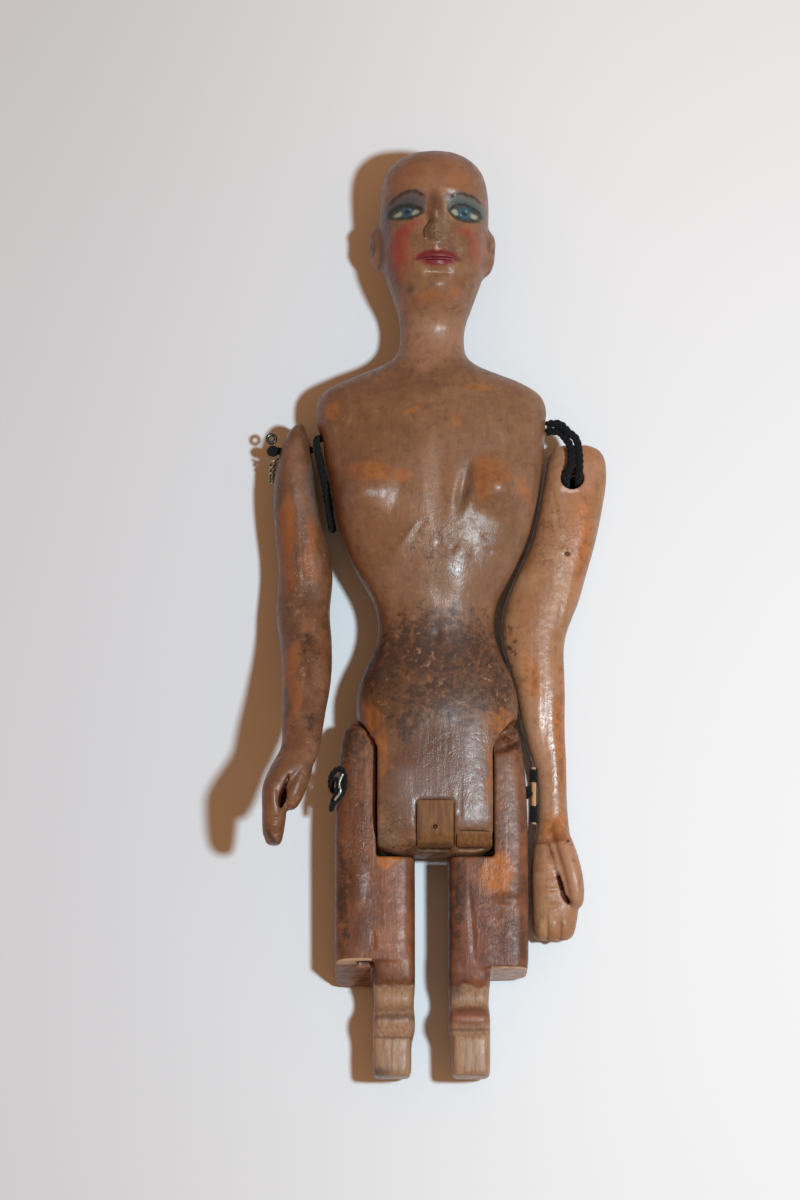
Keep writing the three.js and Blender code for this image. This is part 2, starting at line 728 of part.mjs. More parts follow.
// Right cord: a slack loop beside the chest, then through the arm to a knot with its small fittings
function addRightCord() {
  const mouth = -shoulderWidth / 2;
  const y = cordLevelRight;
  const z = shoulderCordZ;
  const beside = (level, inset) => -(reachAt(level, -1) + inset);
  const slack = [
    [mouth + 0.5, y + 0.7, z + 0.6],
    [beside(y - 0.5, 1.2), y - 0.2, z + 1],
    [beside(y - 4.5, 1.4), y - 4.5, z + 1.3],
    [beside(y - 9, 1.4), y - 9, z + 1.2],
    [beside(y - 15, 1.35), y - 15, z + 0.6],
    [beside(y - 20.5, 1.5), y - 20.5, z - 1],
    [beside(y - 22, 1.5), y - 22, z - 3.2],
    [beside(y - 19.5, 1.4), y - 19.5, z - 5.2],
    [beside(y - 12, 1.3), y - 12, z - 5],
    [beside(y - 5.5, 1.3), y - 5.5, z - 4],
    [mouth - 0.75, y - 1.6, z - 2.2],
  ];
  addPiece("right_cord_slack", tube(slack, strandDiameter, 36), looks.cord);
  const outside = rightArmOuter(rightHoleY);
  const knotHalf = [0.5 * knotSize, 0.44 * knotSize, 0.5 * knotSize];
  const knot = [outside - knotReach - knotHalf[0], rightHoleY, rightHoleZ];
  const through = [
    [mouth - 2.1, y - 1.6, z - 2.2],
    [mouth - 4.4, rightHoleY, rightHoleZ],
    [outside + 3, rightHoleY, rightHoleZ],
    knot,
  ];
  const cord = tube(through, strandDiameter, 10).add(knotSolid(knot, knotHalf));
  addPiece("right_shoulder_cord", cord, looks.cord);
  const ringRadius = ringDiameter / 2;
  const darkRing = [knot[0] - 0.4, knot[1] + knotHalf[1] + fitGap + ringRadius, knot[2]];
  addPiece("dark_ring", ringSolid(darkRing), looks.darkMetal);
  const top = [knot[0], knot[1] - knotHalf[1] - wireDiameter / 2 - fitGap, knot[2] - 0.4];
  addPiece("twisted_hook", twistSolid(top, [top[0] - 0.4, top[1] - hookLength, top[2] - 1.4]), looks.brass);
}

function ringSolid(centre) {
  const geometry = new THREE.TorusGeometry((ringDiameter - ringWire) / 2, ringWire / 2, 8, 24);
  geometry.translate(...centre);
  return toSolid(geometry);
}

// One wire doubled back on itself at the lower end and twisted, wider at its open upper end
function twistSolid(from, to) {
  const start = new THREE.Vector3(...from);
  const along = new THREE.Vector3(...to).sub(start);
  const across = new THREE.Vector3(0, 0, 1).cross(along).normalize();
  const out = along.clone().normalize().cross(across);
  const radius = wireDiameter / 2 + 0.2;
  const open = (hookSpread - wireDiameter) / 2;
  const steps = 12;
  const strand = (turn, share) => {
    const angle = 2 * Math.PI * hookTurns * share + turn;
    const spread = radius + (open - radius) * (1 - share) ** 3;
    return start.clone()
      .addScaledVector(along, share)
      .addScaledVector(across, spread * Math.cos(angle))
      .addScaledVector(out, radius * Math.sin(angle))
      .toArray();
  };
  const points = [];
  for (let step = 0; step <= steps; step += 1) points.push(strand(0, step / steps));
  points.push(start.clone().addScaledVector(along, 1 + 1.6 * radius / along.length()).toArray());
  for (let step = steps; step >= 0; step -= 1) points.push(strand(Math.PI, step / steps));
  return tube(points, wireDiameter, 52, 6);
}

function rightArmOuter(y) {
  const stations = rightArmShape.map(rightArmStation);
  const above = stations.findIndex((station) => station.y >= y);
  const [low, high] = [stations[above - 1], stations[above]];
  const share = (y - low.y) / (high.y - low.y);
  return THREE.MathUtils.lerp(low.x - low.halfWidth, high.x - high.halfWidth, share);
}

// Thighs

// Each station: height over the hip cord, outer edge in from the full width, underside and front
function thighStations(side) {
  const low = -thighLength - endSlant(side) / 2;
  const front = thighBack + thighDepth;
  const inner = thighInner(side);
  return [
    [low, 0.3, thighBack + 0.2, front - 0.2],
    [0.6 * low, 0.1, thighBack, front],
    [0.2 * low, 0, thighBack, front + hipSwell / 2],
    [-0.04 * low, 0.5, thighBack, front + hipSwell],
    [0.28 * lapRadius, 0.9, thighBack, front + 1.1 * hipSwell],
    [0.65 * lapRadius, 1.6, thighBack + 0.2, front + hipSwell],
    [1.04 * lapRadius, 2.6, thighBack + 0.6, front + hipSwell / 2],
  ].map(([height, inset, under, top]) => {
    const halfWidth = (thighWidth - inset) / 2;
    return {
      y: hipAxisY + height,
      x: side * (inner + halfWidth),
      z: (under + top) / 2,
      halfWidth,
      halfDepth: (top - under) / 2,
      squareness: 5,
    };
  });
}

function endSlant(side) {
  return side > 0 ? leftEndSlant : rightEndSlant;
}

// All below the slanted end of a thigh's outer half
function belowEnd(side) {
  const reach = 3 * lapRadius;
  const geometry = new THREE.BoxGeometry(reach, reach, reach);
  geometry.translate(0, -reach / 2, 0);
  geometry.rotateX(-Math.atan(endSlant(side) / thighDepth));
  geometry.translate(side * reach / 2, outerEndY, thighBack + thighDepth / 2);
  return toSolid(geometry);
}

// Each station: below the end of the outer half, underside and front of the knee tongue,
// and how far its inner and its outer face are cut in
function tongueStations(side) {
  const front = thighBack + thighDepth;
  const hollow = front - kneeHollow;
  const tenon = front - tenonStep;
  const end = -tongueLength;
  return [
    [end, tenonBack + 2, tenon - 0.8, tenonInset + 0.4, 0.4],
    [end + 0.8, tenonBack + 0.8, tenon - 0.1, tenonInset + 0.1, 0.1],
    [end + 4, tenonBack, tenon, tenonInset, 0],
    [end + 9, tenonBack - 0.4, tenon, tenonInset, 0],
    [end + 10.2, tenonBack - 0.6, tenon + 0.3, 0.4 * tenonInset, 0],
    [end + 12, tenonBack - 0.8, front + kneeBump - 0.4, 0, 0],
    [end + 14, tenonBack - 0.8, front + kneeBump, 0, 0],
    [end + 15.8, tenonBack - 0.8, front + kneeBump - 0.6, 0.1, 0.1],
    [end + 17, tenonBack - 0.8, hollow + 0.3, 0.3, 0.3],
    [end + 19.4, tenonBack - 0.8, hollow, 0.3, 0.3],
    [end + 21.4, tenonBack - 1, hollow + 0.7, 0.1, 0.1],
    [end + 22.8, thighBack + 0.3, front - 0.5, 0, 0],
    [tongueLength / 3, thighBack + 0.3, front - 0.3, 0, 0],
  ].map(([height, under, top, inner, outer]) => {
    const halfWidth = (tongueWidth - inner - outer) / 2;
    return {
      y: outerEndY + height,
      x: side * (thighInner(side) + inner + halfWidth),
      z: (under + top) / 2,
      halfWidth,
      halfDepth: (top - under) / 2,
      squareness: 6,
    };
  }).sort((one, other) => one.y - other.y);
}

function sided(side, near, far) {
  return side > 0 ? [near, far] : [-far, -near];
}

function addThigh(name, side) {
  const reach = 3 * lapRadius;
  let thigh = loft(thighStations(side), 20);
  const [inLow, inHigh] = sided(side, -reach, blockHalf + fitGap);
  const shoulder = hipAxisY - blockRadius - fitGap;
  thigh = thigh.subtract(box([inLow, shoulder, -reach], [inHigh, hipAxisY + reach, reach]));
  const [outLow, outHigh] = sided(side, 0, reach);
  const above = box([outLow, hipAxisY, -reach], [outHigh, hipAxisY + reach, reach]);
  thigh = thigh.subtract(above.subtract(lapSolid(side, 0)));
  thigh = thigh.subtract(belowEnd(side)).add(loft(tongueStations(side), 16));
  thigh = thigh.subtract(bar([-reach, hipAxisY, hipCordZ], [reach, hipAxisY, hipCordZ], hipBore));
  const pinY = tongueEndY + kneePinRise;
  const pinZ = (tenonBack + thighBack + thighDepth - tenonStep) / 2;
  thigh = thigh.subtract(bar([-reach, pinY, pinZ], [reach, pinY, pinZ], kneePinBore, 12));
  addPiece(name, thigh, looks.thigh);
}

// Right hip: the cord comes out of the thigh, loops over its front edge and is held by a bent wire pin
function addRightHip() {
  const out = -thighOuter(-1);
  const front = thighBack + thighDepth + hipSwell;
  const inside = -(blockHalf + 2 * fitGap);
  const points = [
    [inside, hipAxisY, hipCordZ],
    [out + 2.4, hipAxisY, hipCordZ],
    [out - 0.2, hipAxisY + 0.3, hipCordZ + 0.2],
    [out - 0.9, hipAxisY + 2, hipCordZ + 2.2],
    [out - 0.3, hipAxisY + 4, front - 1.7],
    [out + 1.6, hipAxisY + 5, front + 0.4],
    [out + 2.6, hipAxisY + 3.2, front + 0.8],
    [out + 2.7, hipAxisY + 0.6, front + 0.8],
    [out + 1.9, hipAxisY - 1.6, front + 0.5],
    [out + 0.6, hipAxisY - 2.8, front - 0.6],
    [out - 0.4, hipAxisY - 3.9, front - 2.2],
    [out - 0.6, hipAxisY - 4.9, front - 3.2],
  ];
  addPiece("right_hip_cord", tube(points, hipStrandDiameter, 36), looks.cord);
  addPiece("right_hip_pin", tube([
    [out + 2.3, hipAxisY + 3.4, front + 2.2],
    [out + 1.4, hipAxisY + 1, front + 1.8],
    [out + 1.7, hipAxisY - 1, front + 1.9],
    [out + 0.3, hipAxisY - 3, front + 1],
  ], wireDiameter, 16, 6), looks.silver);
}

// Left hip: a pale peg lies over the bore, lashed with thread at both ends
function addLeftHip() {
  const inside = blockHalf + 2 * fitGap;
  const pegX = thighOuter(1) + fitGap + threadDiameter + lashingClearance + pegDiameter / 2;
  const end = pegX - pegDiameter / 2 - fitGap;
  const cord = bar([inside, hipAxisY, hipCordZ], [end, hipAxisY, hipCordZ], cordDiameter);
  addPiece("left_hip_cord", cord, looks.cord);
  const top = hipAxisY + pegRise;
  const bottom = top - pegLength;
  const peg = bar([pegX, bottom, hipCordZ], [pegX, top, hipCordZ], pegDiameter, 12);
  addPiece("left_hip_toggle", peg, looks.bone);
  const inset = fitGap + threadDiameter / 2;
  const upper = top - inset - upperTurns * threadPitch;
  addPiece("left_hip_lashing_upper", lashing(pegX, upper, upperTurns), looks.cord);
  addPiece("left_hip_lashing_lower", lashing(pegX, bottom + inset, lowerTurns), looks.cord);
}

// One unbroken thread wound round the peg, its ends straight and square to the peg
function lashing(x, y, turns) {
  const radius = (pegDiameter + threadDiameter) / 2 + lashingClearance;
  const winding = [];
  for (let step = 0; step <= turns * turnSteps; step += 1) {
    const angle = (2 * Math.PI * step) / turnSteps;
    winding.push([
      x + radius * Math.cos(angle),
      y + (threadPitch * step) / turnSteps,
      hipCordZ + radius * Math.sin(angle),
    ]);
  }
  const gap = leastTurnGap(winding);
  console.log(`lashing of ${turns} turns: ${gap.toFixed(2)} mm between its turns`);
  const first = [x + radius, y, hipCordZ - threadDiameter];
  const last = [x + radius, y + turns * threadPitch, hipCordZ + threadDiameter];
  return tube([first, ...winding, last], threadDiameter, turns * turnSteps + 2, 6);
}

// Clear distance between points that are half a turn or more apart
function leastTurnGap(points) {
  const places = points.map((point) => new THREE.Vector3(...point));
  let least = Infinity;
  for (let one = 0; one < places.length; one += 1) {
    for (let other = one + turnSteps / 2; other < places.length; other += 1) {
      least = Math.min(least, places[one].distanceTo(places[other]) - threadDiameter);
    }
  }
  return least;
}

addBody();
addCores();
addLeftArm();
addLeftCord();
addRightArm();
addRightCord();
addThigh("left_thigh", 1);
addThigh("right_thigh", -1);
addRightHip();
addLeftHip();

export default doll;
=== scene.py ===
# Jointed wooden doll, carved, painted and strung, lying on its back.
# +Z comes out of the chest, +Y goes to the crown, +X to the doll's own left. The dictionaries are in mm.
import math

import bpy
import numpy as np
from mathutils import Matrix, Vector, noise


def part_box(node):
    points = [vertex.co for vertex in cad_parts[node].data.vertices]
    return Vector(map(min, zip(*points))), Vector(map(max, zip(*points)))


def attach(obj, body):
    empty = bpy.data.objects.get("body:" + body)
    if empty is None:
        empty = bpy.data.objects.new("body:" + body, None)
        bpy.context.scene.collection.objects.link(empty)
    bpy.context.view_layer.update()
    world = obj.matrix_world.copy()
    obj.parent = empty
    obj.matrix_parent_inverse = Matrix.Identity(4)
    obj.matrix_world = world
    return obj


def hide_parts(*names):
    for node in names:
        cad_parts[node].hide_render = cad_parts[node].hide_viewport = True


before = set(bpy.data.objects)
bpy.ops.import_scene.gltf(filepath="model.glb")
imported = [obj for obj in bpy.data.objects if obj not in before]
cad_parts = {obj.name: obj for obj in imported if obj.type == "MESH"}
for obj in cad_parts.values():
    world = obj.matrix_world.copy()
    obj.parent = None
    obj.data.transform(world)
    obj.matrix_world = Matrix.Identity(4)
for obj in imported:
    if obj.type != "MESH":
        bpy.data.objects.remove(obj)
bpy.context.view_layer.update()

mm = 0.001
print("frame loaded")


# Modelling helpers

def deselectAll():
    if bpy.context.object and bpy.context.object.mode == "EDIT":
        bpy.ops.object.mode_set(mode="OBJECT")
    bpy.ops.object.select_all(action="DESELECT")


def pick(piece):
    deselectAll()
    piece.select_set(True)
    bpy.context.view_layer.objects.active = piece


def settle(piece):
    # the object goes to the origin and its place into the mesh
    pick(piece)
    bpy.ops.object.transform_apply(location=True, rotation=True, scale=True)
    return piece


def applyModifier(piece, kind, **settings):
    pick(piece)
    modifier = piece.modifiers.new(kind.title(), kind)
    for key, value in settings.items():
        setattr(modifier, key, value)
    bpy.ops.object.modifier_apply(modifier=modifier.name)


def enterEdit(piece):
    pick(piece)
    bpy.ops.object.mode_set(mode="EDIT")
    bpy.ops.mesh.select_all(action="SELECT")


def extrudeRing(move, scale, centre):
    # one more ring on the face that is selected, scaled about its own centre
    bpy.ops.mesh.extrude_region_move(TRANSFORM_OT_translate={"value": move})
    bpy.ops.transform.resize(value=scale, center_override=centre)


def closeSkin():
    bpy.ops.mesh.select_all(action="SELECT")
    bpy.ops.mesh.normals_make_consistent(inside=False)
    bpy.ops.object.mode_set(mode="OBJECT")


def growRings(name, rows, sides, levels):
    # a closed skin that is extruded ring by ring along +Y and then rounded, from rows of
    # place along the body, place across, width, back, front and squareness
    deselectAll()
    y, x, width, back, front = rows[0][:5]
    centre = Vector((x, y, (back + front) / 2)) * mm
    bpy.ops.mesh.primitive_circle_add(
        vertices=sides, radius=mm, fill_type="NGON", location=centre,
        rotation=(math.pi / 2, math.pi / sides, 0))
    piece = settle(bpy.context.object)
    piece.name = name
    enterEdit(piece)
    half = (width / 2, (front - back) / 2)
    bpy.ops.transform.resize(value=(half[0], 1, half[1]), center_override=centre)
    for y, x, width, back, front in [row[:5] for row in rows[1:]]:
        middle = Vector((x, y, (back + front) / 2)) * mm
        size = (width / 2, (front - back) / 2)
        extrudeRing(middle - centre, (size[0] / half[0], 1, size[1] / half[1]), middle)
        centre, half = middle, size
    closeSkin()
    squareUp(piece, rows)
    applyModifier(piece, "SUBSURF", levels=levels, render_levels=levels)
    return piece


def squareUp(piece, rows):
    # turns each round ring towards a square one, as its squareness rises from 2
    levels = np.array([row[0] for row in rows])
    for vertex in piece.data.vertices:
        row = rows[int(np.abs(levels - vertex.co.y / mm).argmin())]
        x, width, back, front, squareness = row[1:]
        middle = ((x, width / 2), ((back + front) / 2, (front - back) / 2))
        for axis, (centre, half) in zip((0, 2), middle):
            share = (vertex.co[axis] / mm - centre) / half
            bent = math.copysign(min(1, abs(share)) ** (2 / squareness), share)
            vertex.co[axis] = (centre + half * bent) * mm


def addBall(centre, half, turn=(0, 0, 0)):
    deselectAll()
    bpy.ops.mesh.primitive_uv_sphere_add(
        segments=32, ring_count=20, radius=1, location=Vector(centre) * mm,
        rotation=[math.radians(angle) for angle in turn], scale=Vector(half) * mm)
    return settle(bpy.context.object)


def addBlock(low, high):
    deselectAll()
    low, high = Vector(low) * mm, Vector(high) * mm
    bpy.ops.mesh.primitive_cube_add(size=1, location=(low + high) / 2, scale=high - low)
    return settle(bpy.context.object)


def sideBlock(side, near, far, low, high):
    # a block from near to far on one side of the middle plane, between two corners in y and z
    start, end = sorted((side * near, side * far))
    return addBlock((start, *low), (end, *high))


def addBar(start, end, diameter, sides=48):
    deselectAll()
    start, end = Vector(start) * mm, Vector(end) * mm
    along = end - start
    bpy.ops.mesh.primitive_cylinder_add(
        vertices=sides, radius=diameter * mm / 2, depth=along.length, location=(start + end) / 2,
        rotation=along.to_track_quat("Z", "Y").to_euler())
    return settle(bpy.context.object)


def joinInto(piece, others):
    deselectAll()
    for other in others:
        other.select_set(True)
    piece.select_set(True)
    bpy.context.view_layer.objects.active = piece
    bpy.ops.object.join()


def cutAway(piece, cutter, operation="DIFFERENCE"):
    applyModifier(piece, "BOOLEAN", operation=operation, object=cutter, solver="MANIFOLD")
    bpy.data.objects.remove(cutter)


def copyOf(piece, name):
    pick(piece)
    bpy.ops.object.duplicate()
    bpy.context.object.name = name
    return bpy.context.object


def reskin(piece, voxel, smoothings):
    # one even skin over all that was joined, with its edges softened
    applyModifier(piece, "REMESH", mode="VOXEL", voxel_size=voxel * mm, use_smooth_shade=True)
    if smoothings:
        applyModifier(piece, "SMOOTH", factor=0.5, iterations=smoothings)


def readSkin(piece):
    # the places of all vertices in mm, and their normals
    skin = []
    for key, unit in (("co", mm), ("normal", 1)):
        values = np.empty(len(piece.data.vertices) * 3)
        piece.data.vertices.foreach_get(key, values)
        skin.append(values.reshape(-1, 3) / unit)
    return skin


def writePoints(piece, points):
    piece.data.vertices.foreach_set("co", (points * mm).ravel())
    piece.data.update()


def inOval(points, x, y, halfX, halfY, turn=0):
    # where each point lies in a turned oval, along and across it, with 1 at its edge
    c, s = math.cos(math.radians(turn)), math.sin(math.radians(turn))
    dx, dy = points[:, 0] - x, points[:, 1] - y
    return (c * dx + s * dy) / halfX, (c * dy - s * dx) / halfY


def swell(points, normals, spots):
    # pushes soft ovals of the front in or out: x, y, half length, half width, turn and rise
    weight = np.clip(normals[:, 2] * 2.5, 0, 1)
    for *oval, rise in spots:
        u, v = inOval(points, *oval)
        reach = np.clip(1 - (u * u + v * v), 0, 1)
        points[:, 2] += rise * reach * reach * weight


def nudge(points, grabs):
    # moves all that lies in a ball: centre, radius and move
    for centre, radius, move in grabs:
        away = np.linalg.norm(points - np.array(centre), axis=1) / radius
        reach = np.clip(1 - away * away, 0, 1)
        points += (reach * reach)[:, None] * np.array(move)


knife = {"width": 3.5, "grit": 1.1}


def whittle(piece, grainLength, depth, fine):
    # uneven knife work along the grain, and the finer unevenness of the paint
    points, normals = readSkin(piece)
    rise = np.empty(len(points))
    for index, (x, y, z) in enumerate(points):
        cut = noise.noise(Vector((x / knife["width"], y / grainLength, z / knife["width"])))
        grit = noise.noise(Vector((x, y, z)) * knife["grit"])
        rise[index] = depth * cut + fine * grit
    writePoints(piece, points + normals * rise[:, None])


def carve(piece, forms, grabs, cuts):
    # soft forms, small pulls and then the marks of the knife
    points, normals = readSkin(piece)
    swell(points, normals, forms)
    nudge(points, grabs)
    writePoints(piece, points)
    whittle(piece, *cuts)


def dress(piece, material, body, slot, *nodes):
    # its one finish, the body that it moves with and the solids that it stands for
    piece.data.materials.clear()
    piece.data.materials.append(material)
    piece.data.polygons.foreach_set("material_index", [0] * len(piece.data.polygons))
    pick(piece)
    bpy.ops.object.shade_smooth()
    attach(piece, body)
    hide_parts(*nodes)


# Material helpers

def linear(red, green, blue):
    # a colour written in 0 to 255, as the shader wants it
    values = [value / 255 for value in (red, green, blue)]
    return tuple(v / 12.92 if v <= 0.04045 else ((v + 0.055) / 1.055) ** 2.4 for v in values) + (1,)


def newMaterial(name):
    material = bpy.data.materials.new(name)
    material.use_nodes = True
    tree = material.node_tree
    return material, tree, tree.nodes["Principled BSDF"]


def feed(tree, socket, value):
    if isinstance(value, bpy.types.NodeSocket):
        tree.links.new(value, socket)
    else:
        socket.default_value = value


def feedAll(tree, node, inputs):
    for socket, value in dict(inputs).items():
        feed(tree, node.inputs[socket], value)


def addNode(tree, kind, inputs=(), **settings):
    node = tree.nodes.new(kind)
    for key, value in settings.items():
        setattr(node, key, value)
    feedAll(tree, node, inputs)
    return node


def calc(tree, operation, first, second):
    return addNode(tree, "ShaderNodeMath", {0: first, 1: second}, operation=operation).outputs[0]


def times(tree, first, second):
    return calc(tree, "MULTIPLY", first, second)


def weighted(tree, values, weights):
    # the sum of some values, each times its own weight
    total, *rest = [times(tree, value, weight) for value, weight in zip(values, weights)]
    for part in rest:
        total = calc(tree, "ADD", total, part)
    return total


def ramp(tree, value, start, end, low=0.0, high=1.0):
    node = addNode(tree, "ShaderNodeMapRange", {
        "Value": value, "From Min": start, "From Max": end, "To Min": low, "To Max": high,
    }, interpolation_type="SMOOTHSTEP")
    return node.outputs["Result"]


def mixColour(tree, factor, under, over):
    return addNode(tree, "ShaderNodeMix", {0: factor, 6: under, 7: over}, data_type="RGBA").outputs[2]


def between(tree, value, start, end, first, second):
    # from one colour to another, each written in 0 to 255, while a value goes from start to end
    return mixColour(tree, ramp(tree, value, start, end), linear(*first), linear(*second))


def tintOver(tree, colour, mask, strength, tint):
    return mixColour(tree, times(tree, mask, strength), colour, linear(*tint))


def places(tree):
    # object coordinates in millimetres
    coordinates = addNode(tree, "ShaderNodeTexCoord")
    return addNode(tree, "ShaderNodeMapping", {
        "Vector": coordinates.outputs["Object"], "Scale": (1 / mm, 1 / mm, 1 / mm),
    }).outputs[0]


def noiseAt(tree, place, size, detail, rough, stretch=None):
    if stretch:
        place = addNode(tree, "ShaderNodeMapping", {"Vector": place, "Scale": stretch}).outputs[0]
    return addNode(tree, "ShaderNodeTexNoise", {
        "Vector": place, "Scale": 1 / size, "Detail": detail, "Roughness": rough,
    }).outputs["Fac"]


def vectorCalc(tree, operation, inputs):
    return addNode(tree, "ShaderNodeVectorMath", inputs, operation=operation).outputs[0]


def warped(tree, place, size, amount):
    # shakes the places a little, so that painted edges are uneven
    shake = addNode(tree, "ShaderNodeTexNoise", {"Vector": place, "Scale": 1 / size, "Detail": 2.0})
    centred = vectorCalc(tree, "SUBTRACT", {0: shake.outputs["Color"], 1: (0.5, 0.5, 0.5)})
    scaled = vectorCalc(tree, "SCALE", {0: centred, "Scale": amount})
    return vectorCalc(tree, "ADD", {0: place, 1: scaled})


def bumped(tree, height, strength, relief):
    return addNode(tree, "ShaderNodeBump", {
        "Height": height, "Strength": strength, "Distance": relief * mm,
    }).outputs[0]


def spotMask(tree, place, soft, x, y, halfX, halfY, turn=0):
    # one oval spot, with a soft edge
    mapping = addNode(tree, "ShaderNodeMapping", {
        "Vector": place, "Location": (x, y, 0), "Rotation": (0, 0, math.radians(turn)),
        "Scale": (halfX, halfY, 1 / mm),
    }, vector_type="TEXTURE")
    length = addNode(tree, "ShaderNodeVectorMath", operation="LENGTH")
    feed(tree, length.inputs[0], mapping.outputs[0])
    return ramp(tree, length.outputs["Value"], 1 + soft, 1 - soft)


def spotsMask(tree, place, spots, soft):
    mask = spotMask(tree, place, soft, *spots[0])
    for spot in spots[1:]:
        mask = calc(tree, "MAXIMUM", mask, spotMask(tree, place, soft, *spot))
    return mask


def spotLayers(tree, place, colour, layers, size, amount):
    # tints over a colour, on spots with uneven edges: spots, softness, colour and strength
    for spots, soft, tint, strength in layers:
        mask = spotsMask(tree, warped(tree, place, size, amount), spots, soft)
        colour = tintOver(tree, colour, mask, strength, tint)
    return colour


def strokeSpots(points, width):
    # a brush stroke through a few points, as a chain of long thin spots
    spots = []
    for (x1, y1), (x2, y2) in zip(points, points[1:]):
        length = math.hypot(x2 - x1, y2 - y1)
        turn = math.degrees(math.atan2(y2 - y1, x2 - x1))
        spots.append(((x1 + x2) / 2, (y1 + y2) / 2, length / 2 + 0.7 * width, width, turn))
    return spots


# Camera, light and floor

shot = {
    "target": (-8.6, -36, 12),
    "distance": 1000,
    "tilt": 11,  # degrees from straight above, towards the feet
    "sensor": 36,
    "frameHeight": 300,
    # the floor's colour runs paler towards the lamp's side: a painted falloff of the lamp's light
    "floorShadedLeft": (209, 214, 219),
    "floorLitRight": (228, 231, 233),
    "floorDrop": 0.12,
    "floorFalloffSpan": (-110, 60),
    "floorSize": 3000,
    "floorRoughness": 0.75,
    "floorGloss": 0.2,
    "lampPlace": (259, -98, 700),
    "lampSize": 60,
    "lampPower": 5.5,
    "lampColour": (0.745, 0.91, 1.0),
    "roomColour": (0.40, 0.19, 0.085),
    "roomStrength": 1.0,
    "backdrop": (0.5, 0.49, 0.48),
}


def makeCamera():
    tilt = math.radians(shot["tilt"])
    target = Vector(shot["target"]) * mm
    away = Vector((0, -math.sin(tilt), math.cos(tilt))) * shot["distance"] * mm
    bpy.ops.object.camera_add(location=target + away, rotation=(tilt, 0, 0))
    camera = bpy.context.object
    camera.data.sensor_fit = "VERTICAL"
    camera.data.sensor_height = shot["sensor"]
    camera.data.lens = shot["sensor"] * shot["distance"] / shot["frameHeight"]
    camera.data.clip_start = 0.01
    bpy.context.scene.camera = camera


def makeLamp():
    aim = Vector((*shot["target"][:2], 0)) * mm
    place = Vector(shot["lampPlace"]) * mm + aim
    bpy.ops.object.light_add(type="AREA", location=place)
    lamp = bpy.context.object
    lamp.data.shape = "DISK"
    lamp.data.size = shot["lampSize"] * mm
    lamp.data.energy = shot["lampPower"]
    lamp.data.color = shot["lampColour"]
    lamp.rotation_euler = (aim - place).to_track_quat("-Z", "Y").to_euler()


def makeRoom():
    # a warm dim room, with a pale wall for the camera and for reflections
    world = bpy.data.worlds.new("room")
    bpy.context.scene.world = world
    world.use_nodes = True
    tree = world.node_tree
    path = addNode(tree, "ShaderNodeLightPath")
    seen = calc(tree, "MAXIMUM", path.outputs["Is Camera Ray"], path.outputs["Is Glossy Ray"])
    seen = calc(tree, "MAXIMUM", seen, path.outputs["Is Transmission Ray"])
    colour = mixColour(tree, seen, shot["roomColour"] + (1,), shot["backdrop"] + (1,))
    feedAll(tree, tree.nodes["Background"], {"Color": colour, "Strength": shot["roomStrength"]})


def makeFloor():
    deselectAll()
    below = (0, 0, -shot["floorDrop"] * mm)
    bpy.ops.mesh.primitive_plane_add(size=shot["floorSize"] * mm, location=below)
    floor = bpy.context.object
    floor.name = "floor"
    material, tree, shader = newMaterial("floorPaper")
    # painted light: the floor is paler towards the lamp and darker away from it
    x = addNode(tree, "ShaderNodeSeparateXYZ", {0: places(tree)}).outputs[0]
    feedAll(tree, shader, {
        "Base Color": between(tree, x, *shot["floorFalloffSpan"], shot["floorShadedLeft"], shot["floorLitRight"]),
        "Roughness": shot["floorRoughness"], "Specular IOR Level": shot["floorGloss"],
    })
    floor.data.materials.append(material)


bpy.context.scene.view_settings.view_transform = "Standard"
makeCamera()
makeLamp()
makeRoom()
makeFloor()
print("camera, lamp, room and floor made")


# Old paint on carved wood

skinPaint = {
    "light": (138, 97, 68),
    "deep": (112, 76, 50),
    "streak": (80, 50, 34),
    "ground": (164, 98, 44),
    "groundDeep": (138, 82, 42),
    # grime colour, also used for the painted shade in the recess at the left hip
    "grimeAndShade": (52, 31, 19),
    "bare": (178, 136, 106),
}


# how the paint aged, for every painted piece. Each unevenness has its size in mm, detail, roughness and
# stretch, each range says between which values of it something begins to show and shows in full
paintLook = {
    "ragged": ((4, 3), (1.1, 1)),
    "blotches": (7, 5.0, 0.6),
    "blotchRange": (0.34, 0.66),
    "grain": (1.3, 4.0, 0.65, (1, 0.16, 1)),
    "streakRange": (0.5, 0.75),
    "speckle": (0.9, 5.0, 0.7),
    "mottle": (2.2, 6.0, 0.68),
    "darkRange": (0.48, 0.72, 0, 0.5),
    "paleRange": (0.44, 0.28, 0, 0.3),
    "rubbing": (9, 4.0, 0.6),
    "rubbedWidth": 0.1,
    "brokenWeights": (1, 1.5),
    "brokenRange": (0.95, 1.55),
    "groundRange": (0.4, 0.62),
    "dirtAndShadeWeights": (0.6, 0.4),
    "dirtAndShadeRange": (0.6, 0.74),
    "dirtAndShadeMost": 0.78,
    "chipping": (1.7, 5.0, 0.62, (1, 0.7, 1)),
    "chipWeights": (1, 0.11),
    "chipRange": (0.68, 0.76),
    "chipMost": 0.42,
    "crackEdge": (0.08, 0.01),
    "crackRange": (0.4, 0.56),
    "crackMost": 0.45,
    "roughRange": (0.35, 0.65),
    "roughSpread": (-0.05, 0.08),
    "roughWeights": (1, 0.12, -0.12),
    "heightWeights": (0.8, 0.22, 0.9, -0.3, -0.15, -0.25),
    "bump": 0.7,
    "regionDrift": ((7, 1.6), (2.4, 0.7)),
    "wearSoft": 0.65,
    "patchSoft": 0.6,
}


